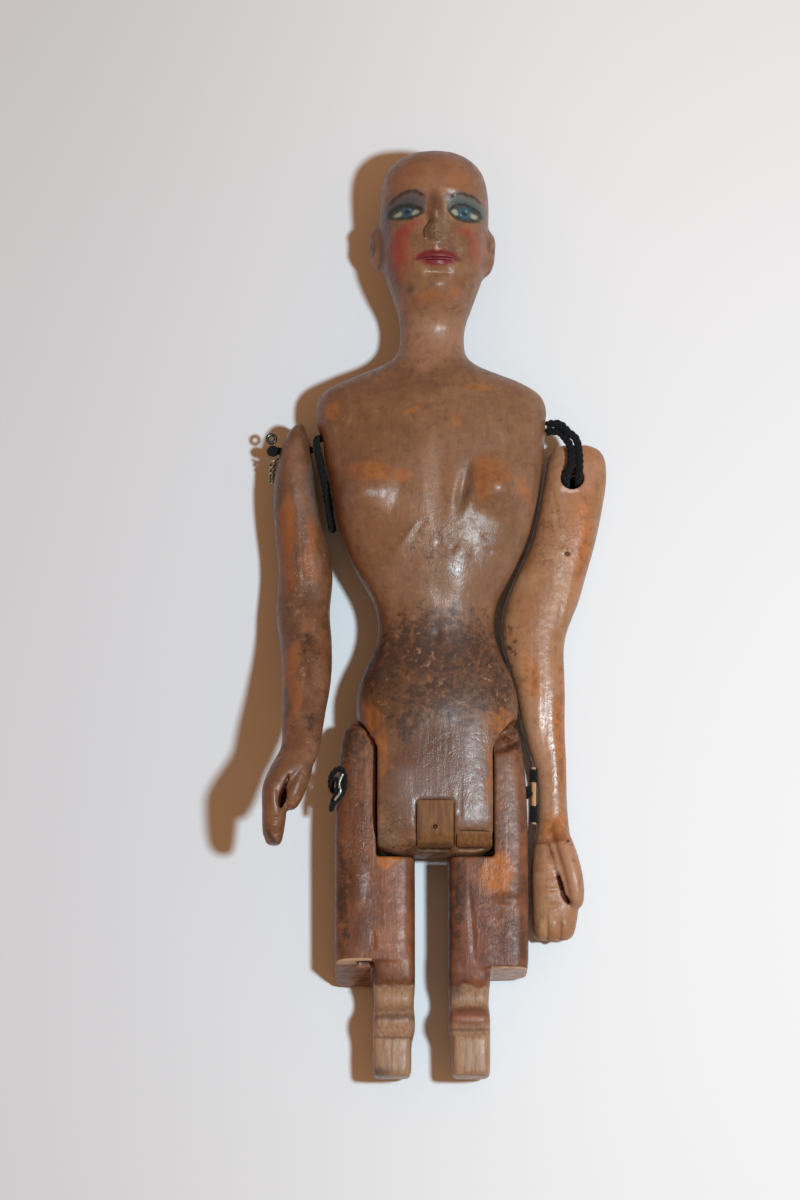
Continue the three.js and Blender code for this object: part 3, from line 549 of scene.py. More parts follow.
def cracksAt(tree, place, size):
    # fine lines between small flakes of old varnish
    flakes = addNode(tree, "ShaderNodeTexVoronoi", {
        "Vector": place, "Scale": 1 / size,
    }, feature="DISTANCE_TO_EDGE")
    return ramp(tree, flakes.outputs["Distance"], *paintLook["crackEdge"])


def shaken(points, size, amount):
    # the places moved a little, so that painted edges are uneven
    return np.array([
        Vector(point) + amount * noise.noise_vector(Vector(point) / size) for point in points])


def spotField(points, spots, soft):
    # from 0 to 1, how far each point lies inside one of the oval spots
    field = np.zeros(len(points))
    for spot in spots:
        away = np.hypot(*inOval(points, *spot))
        share = np.clip((1 + soft - away) / (2 * soft), 0, 1)
        field = np.maximum(field, share * share * (3 - 2 * share))
    return field


def storeField(piece, name, values):
    kind, key = ("FLOAT", "value") if values.ndim == 1 else ("FLOAT_VECTOR", "vector")
    attribute = piece.data.attributes.new(name, kind, "POINT")
    attribute.data.foreach_set(key, values.astype(np.float32).ravel())


def layTints(piece, name, points, layers, share=1):
    # lays tints over each other, as one colour and how much of the paint below it covers
    colour, cover = np.zeros((len(points), 3)), np.zeros(len(points))
    for spots, soft, tint, strength in layers:
        mask = spotField(points, spots, soft) * strength * share
        colour = colour * (1 - mask)[:, None] + mask[:, None] * np.array(linear(*tint)[:3])
        cover = cover * (1 - mask) + mask
    storeField(piece, name + "Tint", colour / np.maximum(cover, 0.0001)[:, None])
    storeField(piece, name + "Cover", cover)


def layWearAndLight(piece, wearAndLight):
    # region tints, some of them painted highlights and shade, and fields of ground, grime with painted shade,
    # bare wood, crackle and shine
    drifting = readSkin(piece)[0]
    for size, amount in paintLook["regionDrift"]:
        drifting = shaken(drifting, size, amount)
    layTints(piece, "region", drifting, wearAndLight["regions"])
    fields = [spotField(drifting, wearAndLight[key], paintLook["wearSoft"]) for key in ("ground", "grimeAndShade", "bare")]
    storeField(piece, "wearAndLight", np.column_stack(fields))
    for key in ("crackle", "shine"):
        storeField(piece, key, spotField(drifting, wearAndLight[key], paintLook["patchSoft"]))


def storedField(tree, name, socket="Fac"):
    return addNode(tree, "ShaderNodeAttribute", attribute_name=name).outputs[socket]


def oldPaint(name, paint, wearAndLight):
    # tinted regions, some of them painted highlights and painted shade, bright ground colour, grime with
    # painted shade in a recess, bare chips and crackle, and how much of each shows
    look = paintLook
    material, tree, shader = newMaterial(name)
    place = ragged = places(tree)
    for size, amount in look["ragged"]:
        ragged = warped(tree, ragged, size, amount)
    blotches, speckle, grain = [
        noiseAt(tree, place, *look[key]) for key in ("blotches", "speckle", "grain")]
    mottle, rubbing, chipping = [
        noiseAt(tree, ragged, *look[key]) for key in ("mottle", "rubbing", "chipping")]
    stored = addNode(tree, "ShaderNodeSeparateXYZ", {0: storedField(tree, "wearAndLight", "Vector")})
    ground, grimeAndShade, bare = stored.outputs
    colour = between(tree, blotches, *look["blotchRange"], paint["deep"], paint["light"])
    colour = mixColour(
        tree, storedField(tree, "regionCover"), colour, storedField(tree, "regionTint", "Color"))
    colour = tintOver(tree, colour, ramp(tree, grain, *look["streakRange"]), wearAndLight["streaks"], paint["streak"])
    for span, tint in (("darkRange", "streak"), ("paleRange", "bare")):
        colour = mixColour(tree, ramp(tree, mottle, *look[span]), colour, linear(*paint[tint]))
    rubbed = ramp(tree, rubbing, wearAndLight["rubbedFrom"], wearAndLight["rubbedFrom"] + look["rubbedWidth"])
    broken = ramp(tree, weighted(tree, (ground, mottle), look["brokenWeights"]), *look["brokenRange"])
    rubbed = calc(tree, "MAXIMUM", times(tree, rubbed, wearAndLight["rubbedMost"]), broken)
    worn = between(tree, mottle, *look["groundRange"], paint["ground"], paint["groundDeep"])
    colour = mixColour(tree, times(tree, rubbed, wearAndLight["groundMost"]), colour, worn)
    # grime, with painted shade where its spots lie in a recess
    dirtAndShade = weighted(tree, (mottle, speckle, grimeAndShade), (*look["dirtAndShadeWeights"], wearAndLight["grimeAndShadeLift"]))
    dirtAndShade = ramp(tree, dirtAndShade, *look["dirtAndShadeRange"])
    colour = tintOver(tree, colour, dirtAndShade, look["dirtAndShadeMost"], paint["grimeAndShade"])
    chips = ramp(tree, weighted(tree, (chipping, bare), look["chipWeights"]), *look["chipRange"])
    colour = tintOver(tree, colour, chips, look["chipMost"], paint["bare"])
    cracks = times(tree, cracksAt(tree, ragged, wearAndLight["flake"]), storedField(tree, "crackle"))
    cracks = times(tree, cracks, ramp(tree, mottle, *look["crackRange"]))
    colour = tintOver(tree, colour, cracks, look["crackMost"], paint["grimeAndShade"])
    spread = [wearAndLight["roughness"] + change for change in look["roughSpread"]]
    rough = ramp(tree, mottle, *look["roughRange"], *spread)
    height = weighted(tree, (grain, speckle, mottle, chips, rubbed, cracks), look["heightWeights"])
    feedAll(tree, shader, {
        "Roughness": weighted(tree, (rough, grimeAndShade, storedField(tree, "shine")), look["roughWeights"]),
        "Specular IOR Level": wearAndLight["gloss"],
        "Normal": bumped(tree, height, look["bump"], wearAndLight["relief"]),
    })
    return material, tree, shader, place, colour


# Head, neck, chest, waist and hips, carved from one piece

torso = {
    "sides": 48,
    "hips": [
        (-102.6, 0, 38.4, 0.6, 24.3, 3.6), (-84.7, 0, 38.4, 0.4, 24.6, 3.4),
        (-76, 0, 38.4, 0, 24.8, 3), (-69.5, 0.6, 39.2, -0.5, 25, 2.8),
        (-65.4, 0.6, 40.4, -0.5, 25, 2.6), (-61, 0.6, 40.4, -0.5, 24.8, 2.5),
        (-56.6, 0.6, 38, 0, 24.3, 2.4), (-53.8, 0.6, 35.6, 0.8, 23.8, 2.3),
        (-51.2, 0.6, 32.7, 1.6, 23.3, 2.3), (-48.6, 0.5, 30.7, 2.4, 23, 2.2),
        (-45, 0.4, 28.8, 2.9, 22.8, 2.2),
    ],
    "trunk": [
        (-40, 0.3, 28.8, 3.2, 23, 2.2), (-36, 0.2, 31.8, 3.2, 23.6, 2.2),
        (-31, 0, 37.6, 2.8, 24.4, 2.3), (-25.9, 0, 42.8, 2.3, 25.5, 2.3),
        (-20.9, 0.2, 46.6, 1.6, 26.3, 2.4), (-15.7, 0.2, 49.4, 0.8, 27, 2.4),
        (-10.5, 0.3, 51.2, 0, 27.4, 2.5), (-5.4, 0.2, 53, -0.5, 27.4, 2.5),
        (-0.3, 0, 54.8, -0.5, 27.1, 2.5), (5, -0.3, 56.5, -0.5, 26.6, 2.5),
        (10.2, -0.5, 57.4, -0.5, 25.8, 2.5), (15.4, -0.7, 56.8, 0.4, 24.7, 2.4),
        (18, -1, 51.7, 1.4, 23.6, 2.3), (20.6, -1.3, 39.6, 2.6, 22.2, 2.2),
        (23.2, -1.1, 25.8, 4, 21.1, 2.1),
    ],
    "neck": [
        (25.4, -0.9, 18.9, 5, 20.6, 2.1), (27.6, -0.6, 16.5, 5.6, 20.2, 2.1),
        (31.9, -0.5, 16, 5.6, 20.2, 2.1), (35.4, -0.3, 17, 5.6, 21.8, 2.1),
    ],
    "head": [
        (37.8, 0, 18.9, 6.3, 27.1, 2.15), (40.3, 0, 20.9, 6.2, 28.6, 2.15),
        (42.9, 0, 22.8, 5.5, 29.3, 2.15), (46.3, 0, 25.3, 4, 29.9, 2.15),
        (51, 0, 26.5, 2.1, 30, 2.15), (56.1, 0, 27.2, 0.9, 29.7, 2.15),
        (61.2, 0, 27.8, 0.3, 30.3, 2.15), (66.3, 0, 27.8, 0.3, 31.1, 2.15),
        (70.3, 0, 26.8, 0.9, 30.8, 2.15), (73.5, 0, 24.5, 1.8, 29.6, 2.15),
        (76, 0, 19.6, 4.3, 27.1, 2.15), (77.4, 0, 14.2, 7.7, 24, 2.15),
        (77.9, 0, 9.2, 10.8, 20.9, 2.15),
    ],
    "ears": {-1: ((-14.1, 54, 14.5), (2.4, 5.8, 3.6)), 1: ((13.5, 52.7, 14.5), (2.2, 6, 3.5))},
    "shoulders": [((-29, 12, 13), 9, (-0.7, 0, 0)), ((28.5, 12, 13), 9, (0.4, 0, 0))],
    "faceBox": ((-13.4, 44, 15), (13.4, 67, 60)),
    "earTurn": 6,
    "earHollow": ((2.4, 0.4, 1.2), 2.6, (-1.1, 0, -0.4)),
    "faceCuts": 3,
    "faceSmoothings": 4,
    "voxel": 0.74,
    "fineVoxel": 0.69,
    "knife": (14, 0.1, 0.045),
    "underTable": ((-80, -160, -40), (80, 120, 0)),
    "shoulderCord": ((-32, 4.3, 13), (32, 8.1, 13)),
    "bore": 5,
    "blockHalf": 14.2,
    "blockRadius": 16.3,
    "hipAxis": (-84.7, 13),
    "hipBore": 4.4,
    "gap": 0.3,
    "lapEase": 0.05,
    # steps across and radii of the rounded hollow in which a thigh turns
    "lapShape": [(0, 13.4), (0.5, 14.63), (1, 15.82), (2, 17.27), (2.8, 17.8)],
    "lapSides": 96,
    "cornerTop": 0.6,
    "cornerSides": 128,
    "far": 60,  # beyond all that is cut at the hips
}
torsoRows = torso["hips"] + torso["trunk"] + torso["neck"] + torso["head"]


thighs = {
    "sides": 32,
    "voxel": 0.4,
    "width": 20,
    "gap": 8,
    "shift": -0.9,
    "length": 44.8,
    "tongueLength": 25.5,
    "tongueWidth": 10.4,
    "tenonInset": 0.9,
    "back": 0.6,
    "front": 18.6,
    "endSlant": {1: 1.6, -1: 5.6},  # the outer half is that much longer at the back
    "lapRadius": 17.8,
    "hollow": 3.4,
    "bump": 0.6,
    "step": 2,
    "tenonBack": 2,
    "pin": (-148.2, 9.3, 2),
    "pinSides": 24,
    "tongueSides": 24,
    "squareness": 5.5,
    "tongueSquareness": 6,
    "knife": (16, 0.1, 0.035),
    "sawCut": ((-19.2, -130, 14.2), (-14.9, -125.9, 17.3)),  # ran past the corner of the right knee
}


# soft forms of the front: x, y, half length, half width, turn, rise
faceForms = [
    (-7.4, 60.4, 4.9, 3.1, 8, -1.3), (7.6, 60.2, 4.9, 3.1, -8, -1.3),
    (-7.2, 60, 3.1, 1.9, 8, 0.55), (7.6, 59.8, 3.1, 1.9, -8, 0.55),
    (-7, 65.6, 6, 2, 4, 0.4), (7.4, 65.3, 6, 2, -4, 0.4),
    (0.3, 59.4, 2.4, 6.4, 0, 0.9), (0.1, 54.6, 2.7, 3.4, 0, 2.5), (0.1, 53.4, 3.4, 1.7, 0, 0.8),
    (-1.5, 52.6, 0.9, 0.6, 0, -0.5), (1.6, 52.6, 0.9, 0.6, 0, -0.5),
    (-8.6, 52.6, 5, 5.6, 0, 0.6), (9, 52.6, 5, 5.6, 0, 0.6),
    (0.7, 48.2, 5.8, 1.9, 0, 0.8), (0.8, 46.3, 4.6, 1.7, 0, 0.8), (0.8, 47.4, 5.6, 0.6, 0, -0.75),
    (0.8, 49.9, 0.9, 1.4, 0, -0.35), (1, 44.1, 4.4, 1.3, 0, -0.6),
    (0.8, 40.6, 5, 3.4, 0, 1), (-6.6, 44, 3, 5, 30, -0.5), (7.6, 44, 3, 5, -30, -0.5),
]
chestForms = [
    (16, -9.8, 10.2, 9.6, 0, 2.9), (-18.4, -10.8, 10.2, 9.6, 0, 2.9),
    (16.8, -11.4, 6.8, 6.4, 0, 1.4), (-19.4, -12.6, 6.8, 6.4, 0, 1.4), (7.2, -10.6, 2.2, 8.4, -14, -1),
    (0.6, -30, 6.5, 5.5, 0, 0.5), (6, -26, 4, 4, 0, 0.3),
    (1, -8, 4, 14, 0, -0.7), (6, -32, 6, 9, 0, 0.8), (-8, -24, 10, 1.8, 52, 0.35),
    (12.8, -22.4, 2.4, 0.6, -35, -0.45), (16.2, -25, 2.2, 0.5, 20, -0.4), (13.4, -25.8, 1.8, 0.7, -20, -0.4),
    (1.2, -24.2, 0.6, 1.8, 10, -0.5), (-4, -20.6, 0.6, 3.6, -38, -0.3), (4.6, -25.6, 0.7, 1.4, 0, -0.4),
    (-1.5, 12, 5, 2, 15, -0.3), (9, 15, 8, 1.2, -12, 0.3), (-10, 15, 8, 1.2, 12, 0.3),
    (0.5, -47, 2, 2.4, 0, -0.35), (0.6, -64, 9, 7, 0, 0.4),
    (17.6, -72.4, 3.4, 1.4, 18, -1.3), (15.2, -70.2, 2, 0.9, 0, -0.5), (-12.6, -97.5, 2.6, 3.6, 0, -0.5),
    (2.6, -97.2, 0.5, 3, 0, -0.2), (-9, -83.5, 4, 5, 0, 0.25),
    (-15.6, -68, 1.2, 4, 0, -0.4), (6, -90, 0.5, 8, 0, -0.25),
]


def thighInner(side):
    # the inner face of a thigh, from the middle of the doll
    return thighs["gap"] / 2 + side * thighs["shift"]


def lapRows(side, grow):
    # rows of place across and radius of the hollow over a thigh's rounded end
    outer = thighInner(side) + thighs["width"]
    inner = torso["blockHalf"] + (0 if grow else torso["gap"])
    step = (outer - inner) / 4
    rows = [(inner + steps * step, radius + grow) for steps, radius in torso["lapShape"]]
    return rows + [(outer + 2 * grow, rows[-1][1])]


def lapCutter(side, grow):
    # the hollow as a turned body on the line of the hip cord
    y, z = torso["hipAxis"]
    rows = lapRows(side, grow)
    deselectAll()
    bpy.ops.mesh.primitive_circle_add(
        vertices=torso["lapSides"], radius=rows[0][1] * mm, fill_type="NGON",
        location=(side * rows[0][0] * mm, y * mm, z * mm), rotation=(0, math.pi / 2, 0))
    cutter = settle(bpy.context.object)
    enterEdit(cutter)
    for (x, radius), (lastX, lastRadius) in zip(rows[1:], rows):
        scale = (1, radius / lastRadius, radius / lastRadius)
        extrudeRing((side * (x - lastX) * mm, 0, 0), scale, (side * x * mm, y * mm, z * mm))
    closeSkin()
    return cutter


def shapeHips(body):
    (y, z), far = torso["hipAxis"], torso["far"]
    for side in (-1, 1):
        cutAway(body, sideBlock(side, torso["blockHalf"], far, (y - far, -far), (y, far)))
        cutAway(body, lapCutter(side, torso["gap"] + torso["lapEase"]))
    corner = addBlock((-far, y - far, -far), (far, y - torso["cornerTop"] * torso["blockRadius"], far))
    curve = addBar((-far - 1, y, z), (far + 1, y, z), 2 * torso["blockRadius"], torso["cornerSides"])
    cutAway(corner, curve)
    cutAway(body, corner)
    cutAway(body, addBar((-far, y, z), (far, y, z), torso["hipBore"]))


def makeTorso():
    body = growRings("carved_body", torsoRows, torso["sides"], 2)
    ears = []
    for side, (place, half) in torso["ears"].items():
        ears.append(addBall(place, half, (0, 0, -torso["earTurn"] * side)))
    joinInto(body, ears)
    reskin(body, torso["voxel"], 2)
    cutAway(body, addBlock(*torso["underTable"]))
    shapeHips(body)
    cutAway(body, addBar(*torso["shoulderCord"], torso["bore"]))
    return body


def refineFace(body):
    # a finer skin where the face is carved and painted
    low, high = torso["faceBox"]
    pick(body)
    bpy.ops.object.mode_set(mode="EDIT")
    bpy.ops.mesh.select_mode(type="FACE")
    bpy.ops.mesh.select_all(action="DESELECT")
    bpy.ops.object.mode_set(mode="OBJECT")
    for face in body.data.polygons:
        face.select = all(l < c / mm < h for l, c, h in zip(low, face.center, high))
    bpy.ops.object.mode_set(mode="EDIT")
    bpy.ops.mesh.subdivide(number_cuts=torso["faceCuts"])
    bpy.ops.mesh.vertices_smooth(factor=0.5, repeat=torso["faceSmoothings"])
    bpy.ops.mesh.select_mode(type="VERT")
    bpy.ops.object.mode_set(mode="OBJECT")


def detailTorso(body):
    reskin(body, torso["fineVoxel"], 1)
    refineFace(body)
    (right, up, out), radius, (moveX, moveY, moveZ) = torso["earHollow"]
    hollows = []
    for side, ear in torso["ears"].items():
        x, y, z = ear[0]
        hollows.append(((x + right * side, y + up, z + out), radius, (moveX * side, moveY, moveZ)))
    carve(body, faceForms + chestForms, hollows + torso["shoulders"], torso["knife"])


patches = {
    "half": 4.6,
    "top": -88,
    "bottom": -99.4,
    "floor": 17,
    "over": 40,
    "wall": 0.6,
    "sideWidth": 8.8,
    "sideHeight": 3.8,
    "seat": 0.06,
    "voxel": 0.22,
    "brad": (0, -94.6),
    "bradFloor": 17.4,
    "bradHole": 1,
}


def patchBlocks(inset):
    # the corners of both let-in blocks, drawn in on all sides
    left = patches["half"] + patches["wall"]
    low, floor = patches["bottom"] + inset, patches["floor"] + inset
    blocks = []
    for start, end, top in (
            (-patches["half"], patches["half"], patches["top"]),
            (left, left + patches["sideWidth"], patches["bottom"] + patches["sideHeight"])):
        blocks.append(((start + inset, low, floor), (end - inset, top - inset, patches["over"])))
    return blocks


# brush lines of the face: half width and points
faceLines = {
    "browLeft": [(0.5, (-11.5, 62.6), (-9.5, 64), (-7.4, 64.7), (-5.6, 64.9), (-4, 64.5), (-2.8, 63.5))],
    "browRight": [(0.4, (4.2, 63.2), (5.2, 64.1), (7, 64.4), (8.8, 64.3), (10.4, 64), (11.8, 63.2))],
    "upperLids": [
        (0.55, (-11.7, 60), (-10.4, 61.2), (-8.8, 61.8), (-7, 61.7), (-5, 61.2), (-2.8, 59.7)),
        (0.42, (3.8, 60.3), (5.6, 61.6), (7.4, 61.9), (9.2, 61.6), (10.8, 61), (12, 60.2)),
    ],
    "lowerLids": [
        (0.5, (-11.6, 59.9), (-9.6, 58.8), (-7.3, 58.2), (-5, 58.4), (-2.9, 59.2)),
        (0.46, (4, 59.5), (5.2, 58.3), (7, 57.7), (9, 57.7), (10.8, 58.6), (12, 60)),
    ],
    "mouth": [(0.2, (-4.4, 47.5), (-1, 47.8), (0.8, 47.5), (2.8, 47.8), (6, 47.4))],
    "noseLine": [(0.25, (-1, 57.4), (-1.8, 56.3), (-2.5, 55.1), (-2.7, 54), (-2.4, 52.9))],
    "nostrils": [(0.2, (-0.1, 54.6), (0.1, 53.6), (-0.1, 52.8)), (0.16, (0.4, 53.6), (1.9, 53.7))],
}
faceStrokes = {
    name: [spot for width, *points in group for spot in strokeSpots(points, width)]
    for name, group in faceLines.items()
}


# what is painted on the face, in its order: spots, softness, colour and strength
faceLayers = [
    # painted shade down the side of the face away from the lamp
    ([(-12.6, 55, 2, 8), (-10.6, 46, 2, 5, 20)], 0.7, (88, 60, 52), 0.65),
    ([(0.8, 67.5, 10, 6), (6, 63, 3, 4)], 0.8, (146, 97, 68), 0.6),
    ([(-6, 70.5, 2, 1.3, 10), (-8.6, 67.6, 2.2, 1.2)], 0.95, (160, 94, 64), 0.35),
    ([(6.6, 68, 3, 1.8, 10), (8.6, 66.2, 1.8, 1, -20)], 0.95, (160, 98, 60), 0.4),
    ([(-9.4, 51, 1.6, 3.4, 4), (-8.2, 54.5, 2.2, 1.2, 25)], 0.75, (144, 42, 25), 0.8),
    ([(-7.6, 52.6, 0.9, 1.6, 10), (-9.6, 48.6, 0.8, 1.2)], 0.9, (168, 74, 44), 0.5),
    ([(-11.2, 50.6, 0.8, 2.6, 4)], 0.9, (98, 36, 26), 0.5),
    ([(-6.6, 56, 3, 1, 22), (-8.6, 49, 2.4, 5)], 0.8, (146, 58, 44), 0.6),
    ([(10.6, 51.4, 1.7, 3.8, 6), (8.6, 54.6, 2.4, 1.2, -24)], 0.85, (144, 50, 34), 0.66),
    ([(-7, 62.6, 4.4, 2.3, 6), (-11.6, 60.4, 1.5, 2), (-3.2, 61.4, 1, 2)], 0.55, (74, 71, 74), 0.88),
    ([(-8, 61.8, 3.4, 1, 10)], 0.6, (44, 62, 60), 0.7),
    ([(7.6, 62.5, 4.6, 2.1, -4), (3.9, 61.4, 0.9, 1.8), (11.8, 61.4, 1.2, 1.6)], 0.55,
      (80, 93, 90), 0.87),
    ([(8, 61.7, 3.6, 1, -8)], 0.6, (38, 76, 86), 0.7),
    ([(0.5, 61, 1.5, 3.4, 8), (-0.6, 58, 1.1, 2, 20)], 0.8, (74, 40, 20), 0.85),
    ([(1.2, 54.6, 2.2, 2.9)], 0.7, (120, 98, 70), 0.7),
    ([(-7, 60, 4.2, 1.8, 4), (7.7, 59.8, 4.1, 1.9, -4)], 0.2, (34, 52, 52), 0.9),
    ([(-9, 59.6, 1.5, 0.62, 12), (-4.8, 59.5, 1, 0.7, 14), (5.1, 59.6, 0.75, 0.8),
      (10, 59.4, 1.5, 0.66, -14)], 0.4, (156, 160, 138), 0.92),
    ([(-6.8, 59.9, 1.4, 1.6), (7.5, 59.8, 1.6, 1.7)], 0.3, (26, 82, 98), 0.92),
    ([(-6.7, 60, 0.65, 0.7), (7.6, 59.8, 0.6, 0.65)], 0.5, (10, 22, 30), 0.9),
    # painted glints on the eyes: reflections of the lamp
    ([(-6.1, 60.6, 0.3, 0.3), (8, 60.4, 0.35, 0.3), (6.7, 59.1, 0.3, 0.35)], 0.6,
      (120, 160, 160), 0.6),
    (faceStrokes["upperLids"], 0.6, (22, 26, 24), 0.9),
    (faceStrokes["lowerLids"], 0.6, (26, 36, 32), 0.85),
    (faceStrokes["browLeft"], 0.7, (48, 28, 18), 0.92),
    (faceStrokes["browRight"], 0.7, (52, 32, 22), 0.95),
    ([(-1.7, 48.35, 3.3, 1, 16), (3.4, 48.25, 3.2, 1, -16), (0.85, 46.85, 3.9, 1.35)], 0.3,
      (112, 20, 34), 0.97),
    (faceStrokes["mouth"], 0.7, (56, 10, 20), 0.75),
    # a painted highlight over the upper lip
    ([(0.9, 49.9, 0.7, 0.5)], 0.7, (206, 164, 146), 0.6),
    (faceStrokes["noseLine"], 0.6, (42, 20, 12), 0.9),
    (faceStrokes["nostrils"], 0.6, (56, 32, 20), 0.75),
    ([(-1, 38.4, 3.4, 1.3), (5, 39.6, 1.4, 1.1)], 0.9, (160, 94, 46), 0.5),
    ([(-5.9, 40.3, 1, 0.8, 20)], 0.8, (70, 52, 38), 0.7),
    ([(-15.8, 53.5, 0.7, 2)], 0.6, (44, 26, 20), 0.8),
]


def paintFace(body):
    # the paint thins out towards the sides of the head
    points, normals = readSkin(body)
    front = np.clip((points[:, 2] - 12) / 4, 0, 1) * np.clip(normals[:, 2] * 4 + 1, 0, 1)
    layTints(body, "face", shaken(points, 1.4, 0.22), faceLayers, front)


# the body's wear, with painted highlights and shade among its regions and painted shade among its grime
bodyWearAndLight = {
    "streaks": 0.3,
    "rubbedFrom": 0.66,
    "rubbedMost": 0.35,
    "groundMost": 0.6,
    "roughness": 0.35,
    "gloss": 0.38,
    "flake": 2.6,
    "relief": 0.17,
    "grimeAndShadeLift": 0.2,
    "regions": [
        ([(0.5, 31, 10, 8)], 0.6, (150, 110, 85), 0.75),
        # darker on the doll's right chest: partly the paint's own tone, partly painted shade on the side away
        # from the lamp
        ([(-16, 6, 14, 14)], 0.6, (112, 73, 44), 0.65),
        ([(15, 4, 13, 14)], 0.6, (126, 91, 65), 0.65),
        ([(0.5, -10, 6, 11)], 0.6, (138, 100, 73), 0.7),
        ([(-14, -24, 12, 9, 20)], 0.6, (120, 80, 48), 0.6),
        ([(14, -24, 10, 8, -20)], 0.6, (118, 88, 62), 0.6),
        ([(1, -32, 13, 8)], 0.6, (126, 92, 70), 0.7),
        ([(0.5, -52, 20, 9.5)], 0.6, (88, 52, 30), 0.85),
        ([(-13, -63, 8, 9)], 0.6, (86, 51, 24), 0.8), ([(15, -60, 7, 9)], 0.6, (98, 62, 38), 0.7),
        ([(0.6, -80, 13, 15)], 0.6, (86, 56, 41), 0.85),
        # painted shade in the groove beside the left breast
        ([(7.4, -12, 1.6, 7, -14)], 0.7, (92, 60, 40), 0.5),
        # painted highlights, pale and lilac-grey, on the front of the hips
        ([(-3.6, -85.4, 6.4, 5), (9.2, -80, 4.8, 9), (2, -84, 5, 6)], 0.7, (138, 120, 116), 0.36),
        # a painted highlight on the belly
        ([(2.6, -32, 4.6, 6)], 0.8, (146, 128, 112), 0.35),
        ([(-12, -98, 3, 4)], 0.6, (124, 106, 88), 0.6),
    ],
    "ground": [
        (14.8, -6.2, 4.6, 3.6, -20), (11.4, -9, 2, 4.4, 6), (21.6, -10.4, 2.2, 4, 8),
        (-16.4, -6, 5.4, 3, 4), (-8.2, -7, 2.6, 1.8), (4.8, 6.9, 1.1, 1.9), (-5.6, 9, 2.2, 0.9, 8),
        (11.1, 16.3, 3.2, 1.2, -14), (-25, 9.9, 2.4, 2.2), (-16.2, -66.6, 2, 4.6, 14),
        (16.8, -68.6, 4, 3.6),
        (-13, -76.5, 1.1, 6.5), (13.6, -81, 0.9, 7),
    ],
    "grimeAndShade": [
        (0.5, -50, 18, 10), (4, -63, 15, 7), (-13, -54, 6, 10), (16, -60, 5, 8),
        # the last spot below is painted shade, in the recess where the left thigh meets the hips
        (-7, -69, 5, 5), (-2, -99, 9, 2), (18, -71.5, 3, 2, 20),
    ],
    "bare": [
        (-1, -50, 8, 7), (0.2, -56, 2.2, 9, 4), (12, -56, 5, 6, -30), (-3, -23, 2, 5, 20),
        (6.6, -25, 4, 2.6),
        (-14, -70, 1.6, 7), (17, -58, 3, 6), (-12, -98, 3, 4),
    ],
    "crackle": [(1, -24, 9, 8), (-10, -93, 4, 6)],
    "shine": [(0.6, -80, 12, 13), (0, -33, 7, 7)],
}


faceBrush = {"strokes": (0.6, 3.0, 0.6, (1, 2, 1)), "range": (0.3, 0.6, 0.8, 1)}


def bodyMaterial():
    material, tree, shader, place, colour = oldPaint("bodyPaint", skinPaint, bodyWearAndLight)
    strokes = ramp(tree, noiseAt(tree, place, *faceBrush["strokes"]), *faceBrush["range"])
    cover = times(tree, storedField(tree, "faceCover"), strokes)
    colour = mixColour(tree, cover, colour, storedField(tree, "faceTint", "Color"))
    feed(tree, shader.inputs["Base Color"], colour)
    return material


woodLook = {
    "patch": ((124, 85, 49), (98, 63, 35)),
    "peg": ((206, 160, 112), (172, 122, 78)),
    "grain": (0.8, 5.0, 0.6, (1, 0.09, 1)),
    "grainRange": (0.3, 0.7),
    "pores": (0.35, 2.0, 0.55, (1, 0.2, 1)),
    "poreRange": (0.62, 0.75),
    "poreMost": 0.35,
    "poreTint": (84, 56, 38),
    "roughness": 0.55,
    "gloss": 0.2,
    "bump": 0.4,
    "relief": 0.1,
    "stainShake": (2, 1.6),
    "stains": [
        ([(0, -99.4, 5, 1), (-4.4, -94, 0.8, 6), (9.4, -99.6, 5, 0.6), (-0.1, -94.8, 0.7, 0.7)],
         0.5, (74, 52, 42), 0.6),
    ],
}


def bareWood(name, pale, deep, stains):
    look = woodLook
    material, tree, shader = newMaterial(name)
    place = places(tree)
    grain = noiseAt(tree, place, *look["grain"])
    pores = ramp(tree, noiseAt(tree, place, *look["pores"]), *look["poreRange"])
    colour = between(tree, grain, *look["grainRange"], pale, deep)
    colour = tintOver(tree, colour, pores, look["poreMost"], look["poreTint"])
    feedAll(tree, shader, {
        "Base Color": spotLayers(tree, place, colour, stains, *look["stainShake"]),
        "Roughness": look["roughness"], "Specular IOR Level": look["gloss"],
        "Normal": bumped(tree, grain, look["bump"], look["relief"]),
    })
    return material


body = makeTorso()
patchFront, patchSide = patchBlocks(patches["seat"])
frontPatch, sidePatch = copyOf(body, "front_patch"), copyOf(body, "side_patch")
cutAway(frontPatch, addBlock(*patchFront), "INTERSECT")
cutAway(sidePatch, addBlock(*patchSide), "INTERSECT")
bradEnds = [(*patches["brad"], level) for level in (patches["bradFloor"], patches["over"])]
cutAway(frontPatch, addBar(*bradEnds, patches["bradHole"]))
for block in patchBlocks(0):
    cutAway(body, addBlock(*block))
detailTorso(body)
layWearAndLight(body, bodyWearAndLight)
paintFace(body)
dress(body, bodyMaterial(), "root", "painted_skin", "torso_head")
print("body carved and painted:", len(body.data.polygons), "faces")

patchWood = bareWood("patchWood", *woodLook["patch"], woodLook["stains"])
for patch, node in ((frontPatch, "pelvis_front_patch"), (sidePatch, "pelvis_side_patch")):
    reskin(patch, patches["voxel"], 1)
    dress(patch, patchWood, "root", "bare_wood", node)
print("patches let in")


# Arms

